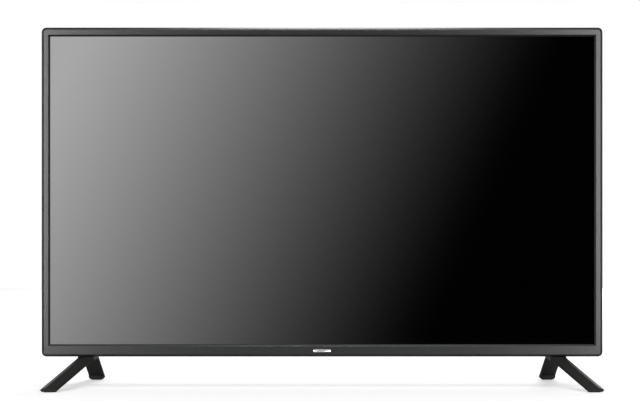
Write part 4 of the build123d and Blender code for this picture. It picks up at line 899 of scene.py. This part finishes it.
pinLook = {
    "sides": 24,
    "radius": 1.24 * millimetre,
    "length": 9.5 * millimetre,
    "point": 0.7 * millimetre,
    "pointTaper": 0.55,
    "edge": 0.1 * millimetre,
    "pitch": 8.6 * millimetre,
    "sunk": 1.95 * millimetre,
}


def makeInletPins(material):
    # Bright sleeves over the two pins of the mains inlet, whose mouth looks to the right
    look = pinLook
    low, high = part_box("mains_inlet")
    tip = high.x - look["sunk"]
    pin = startCylinder(look["sides"], look["radius"], -look["length"], -look["point"])
    pickFaces(pin, facesUp)
    bpy.ops.mesh.extrude_region_move(TRANSFORM_OT_translate={"value": (0, 0, look["point"])})
    bpy.ops.transform.resize(value=(look["pointTaper"], look["pointTaper"], 1))
    bpy.ops.object.mode_set(mode="OBJECT")
    softenEdges(pin, look["edge"])
    middle = (low + high) / 2
    places = [(tip, middle.y, middle.z + side * look["pitch"] / 2) for side in (-1, 1)]
    for piece in copyTo(pin, "inletPin", places, (0, math.radians(90), 0), material):
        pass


# Stage: floor, card, lamps, world and camera

cameraPlace = {
    "eye": (-0.0036, -2.6905, 0.3196),
    "focalPixels": 1559.0,
    "imageWidth": 640.0,
    "sensor": 36.0,
}


def makeCamera():
    place = cameraPlace
    data = bpy.data.cameras.new("photoCamera")
    data.sensor_width = place["sensor"]
    data.lens = place["sensor"] * place["focalPixels"] / place["imageWidth"]
    camera = bpy.data.objects.new("photoCamera", data)
    camera.location = place["eye"]
    camera.rotation_euler = (math.radians(90), 0, 0)
    bpy.context.scene.collection.objects.link(camera)
    bpy.context.scene.camera = camera


# The graded card behind the camera that the switched-off screen mirrors
cardLook = {
    "distance": 5.0,
    "left": -2.4,
    "right": 1.9,
    "low": -0.9,
    "high": 1.9,
    "peak": 0.63,
    "start": (-1.17, 1.15),
    "across": 2.44,
    "tilt": 0.455,
    "curve": 1.16,
    "gamma": 2.2,
    "strength": 27.0,
}


def maths(tree, operation, first, second, third=None):
    # One step of arithmetic on sockets or plain values
    step = tree.nodes.new("ShaderNodeMath")
    step.operation = operation
    for slot, value in enumerate((first, second, third)):
        if value is None:
            continue
        if isinstance(value, (int, float)):
            step.inputs[slot].default_value = value
        else:
            tree.links.new(value, step.inputs[slot])
    return step.outputs[0]


def makeCard():
    look = cardLook
    across, up = look["right"] - look["left"], look["high"] - look["low"]
    bpy.ops.object.select_all(action="DESELECT")
    bpy.ops.mesh.primitive_plane_add(size=1, location=(0, 0, 0))
    card = bpy.context.object
    card.scale = (across, up, 1)
    card.rotation_euler = (math.radians(-90), 0, 0)
    card.location = ((look["left"] + look["right"]) / 2, -look["distance"], (look["low"] + look["high"]) / 2)
    bpy.ops.object.transform_apply(location=True, rotation=True, scale=True)
    card.name = "gradedCard"
    material, tree, shader, place = startMaterial("gradedCard")
    tree.nodes.remove(shader)
    parts = tree.nodes.new("ShaderNodeSeparateXYZ")
    tree.links.new(place, parts.inputs["Vector"])
    startX, startZ = look["start"]
    # The way along the gradient, from 0 at the bright corner to 1 where the card turns black
    down = maths(tree, "MULTIPLY_ADD", parts.outputs["Z"], -look["tilt"], look["tilt"] * startZ - startX)
    way = maths(tree, "ADD", parts.outputs["X"], down)
    way = maths(tree, "MAXIMUM", maths(tree, "DIVIDE", way, look["across"]), 0.0)
    fall = maths(tree, "POWER", way, look["curve"])
    grey = maths(tree, "MAXIMUM", maths(tree, "MULTIPLY_ADD", fall, -look["peak"], look["peak"]), 0.0)
    power = maths(tree, "MULTIPLY", maths(tree, "POWER", grey, look["gamma"]), look["strength"])
    glow = tree.nodes.new("ShaderNodeEmission")
    tree.links.new(power, glow.inputs["Strength"])
    tree.links.new(glow.outputs[0], tree.nodes["Material Output"].inputs["Surface"])
    card.data.materials.append(material)
    card.visible_camera = False
    card.visible_diffuse = False
    card.visible_shadow = False
    flagLamp(card, "INCLUDE", "picture_panel")


floorLook = {"front": -0.72, "back": 3.0, "half": 4.0, "tone": 0.8, "roughness": 0.9, "lift": 0.45}


def makeFloor():
    look = floorLook
    bpy.ops.object.select_all(action="DESELECT")
    bpy.ops.mesh.primitive_plane_add(size=1, location=(0, (look["front"] + look["back"]) / 2, 0))
    floor = bpy.context.object
    floor.scale = (2 * look["half"], look["back"] - look["front"], 1)
    bpy.ops.object.transform_apply(location=True, rotation=True, scale=True)
    floor.name = "paleFloor"
    material, tree, shader, place = startMaterial("paleFloor")
    tone = look["tone"]
    shader.inputs["Base Color"].default_value = (tone, tone, tone, 1)
    shader.inputs["Roughness"].default_value = look["roughness"]
    shader.inputs["Specular IOR Level"].default_value = 0.0
    path = tree.nodes.new("ShaderNodeLightPath")
    lift = maths(tree, "MULTIPLY", path.outputs["Is Camera Ray"], look["lift"])
    tree.links.new(lift, shader.inputs["Emission Strength"])
    shader.inputs["Emission Color"].default_value = (1, 1, 1, 1)
    floor.data.materials.append(material)


# A flag keeps a lamp off some pieces (EXCLUDE) or lets it reach only those (INCLUDE)
lamps = {
    "leftSoftbox": {
        "place": (-1.5, -3.2, 0.55),
        "aim": (0, 0, 0.33),
        "size": (0.7, 1.7),
        "power": 60,
        "flag": ("EXCLUDE", "picture_panel"),
    },
    "rightSoftbox": {
        "place": (1.5, -3.2, 0.55),
        "aim": (0, 0, 0.33),
        "size": (0.7, 1.7),
        "power": 60,
        "flag": ("EXCLUDE", "picture_panel"),
    },
    "topSoftbox": {"place": (0.04, 0.0, 2.6), "aim": (0.04, 0, 0.3), "size": (0.9, 0.9), "power": 18},
    "backSoftbox": {"place": (1.2, 3.0, 1.6), "aim": (0, 0, 0.3), "size": (1.6, 1.6), "power": 60},
    "edgeStrip": {
        "place": (0.04, -0.55, 2.5),
        "aim": (0.04, -0.02, 0.6),
        "size": (0.62, 2.6),
        "power": 100,
        "flag": ("INCLUDE", "outer_frame", "front_bezel"),
    },
    "leftFootLamp": {
        "place": (-1.16, 0.19, 0.27),
        "aim": (-0.44, -0.05, 0.03),
        "size": (0.3, 0.3),
        "power": 24,
        "flag": ("INCLUDE", "stand_foot_left"),
    },
    "rightFootLamp": {
        "place": (1.16, 0.19, 0.27),
        "aim": (0.44, -0.05, 0.03),
        "size": (0.3, 0.3),
        "power": 24,
        "flag": ("INCLUDE", "stand_foot_right"),
    },
}


def flagLamp(lamp, state, *names):
    reached = bpy.data.collections.new(lamp.name + "Reach")
    for name in names:
        reached.objects.link(nodes[name])
    for link in reached.collection_objects:
        link.light_linking.link_state = state
    lamp.light_linking.receiver_collection = reached


def makeLamps():
    for name, look in lamps.items():
        data = bpy.data.lights.new(name, "AREA")
        data.shape = "RECTANGLE"
        data.size, data.size_y = look["size"]
        data.energy = look["power"]
        lamp = bpy.data.objects.new(name, data)
        lamp.location = look["place"]
        way = Vector(look["aim"]) - Vector(look["place"])
        lamp.rotation_euler = way.to_track_quat("-Z", "Y").to_euler()
        lamp.visible_camera = False
        bpy.context.scene.collection.objects.link(lamp)
        if "flag" in look:
            flagLamp(lamp, *look["flag"])


# What gloss mirrors turns from front to back along Y, and to the ceiling along Z
roomLook = {
    "fill": 0.35,
    "frontGloss": 0.0,
    "frontUpTo": -0.3,
    "backGloss": 0.8,
    "backFrom": 0.5,
    "ceilingGloss": 0.1,
    "wallUpTo": 0.65,
    "ceilingFrom": 0.85,
}


def makeWorld():
    # White for the camera, a soft fill for the object, and dark in gloss on the camera's side
    look = roomLook
    world = bpy.data.worlds.new("studio")
    world.use_nodes = True
    bpy.context.scene.world = world
    tree = world.node_tree
    background = tree.nodes["Background"]
    background.inputs["Color"].default_value = (1, 1, 1, 1)
    place = tree.nodes.new("ShaderNodeTexCoord")
    parts = tree.nodes.new("ShaderNodeSeparateXYZ")
    tree.links.new(place.outputs["Generated"], parts.inputs["Vector"])
    across, up = parts.outputs["Y"], parts.outputs["Z"]
    gloss = spread(tree, across, look["frontGloss"], look["backGloss"], look["frontUpTo"], look["backFrom"])
    ceiling = spread(tree, up, 1.0, look["ceilingGloss"], look["wallUpTo"], look["ceilingFrom"])
    shaded = maths(tree, "MULTIPLY", gloss, ceiling)
    path = tree.nodes.new("ShaderNodeLightPath")
    forGloss = tree.nodes.new("ShaderNodeMix")
    forGloss.inputs["A"].default_value = look["fill"]
    tree.links.new(path.outputs["Is Glossy Ray"], forGloss.inputs["Factor"])
    tree.links.new(shaded, forGloss.inputs["B"])
    forCamera = tree.nodes.new("ShaderNodeMix")
    forCamera.inputs["B"].default_value = 1.0
    tree.links.new(path.outputs["Is Camera Ray"], forCamera.inputs["Factor"])
    tree.links.new(forGloss.outputs["Result"], forCamera.inputs["A"])
    tree.links.new(forCamera.outputs["Result"], background.inputs["Strength"])


def setColours():
    bpy.context.scene.view_settings.view_transform = "Standard"


makeCamera()
makeCard()
makeFloor()
makeLamps()
makeWorld()
setColours()
dressSet()
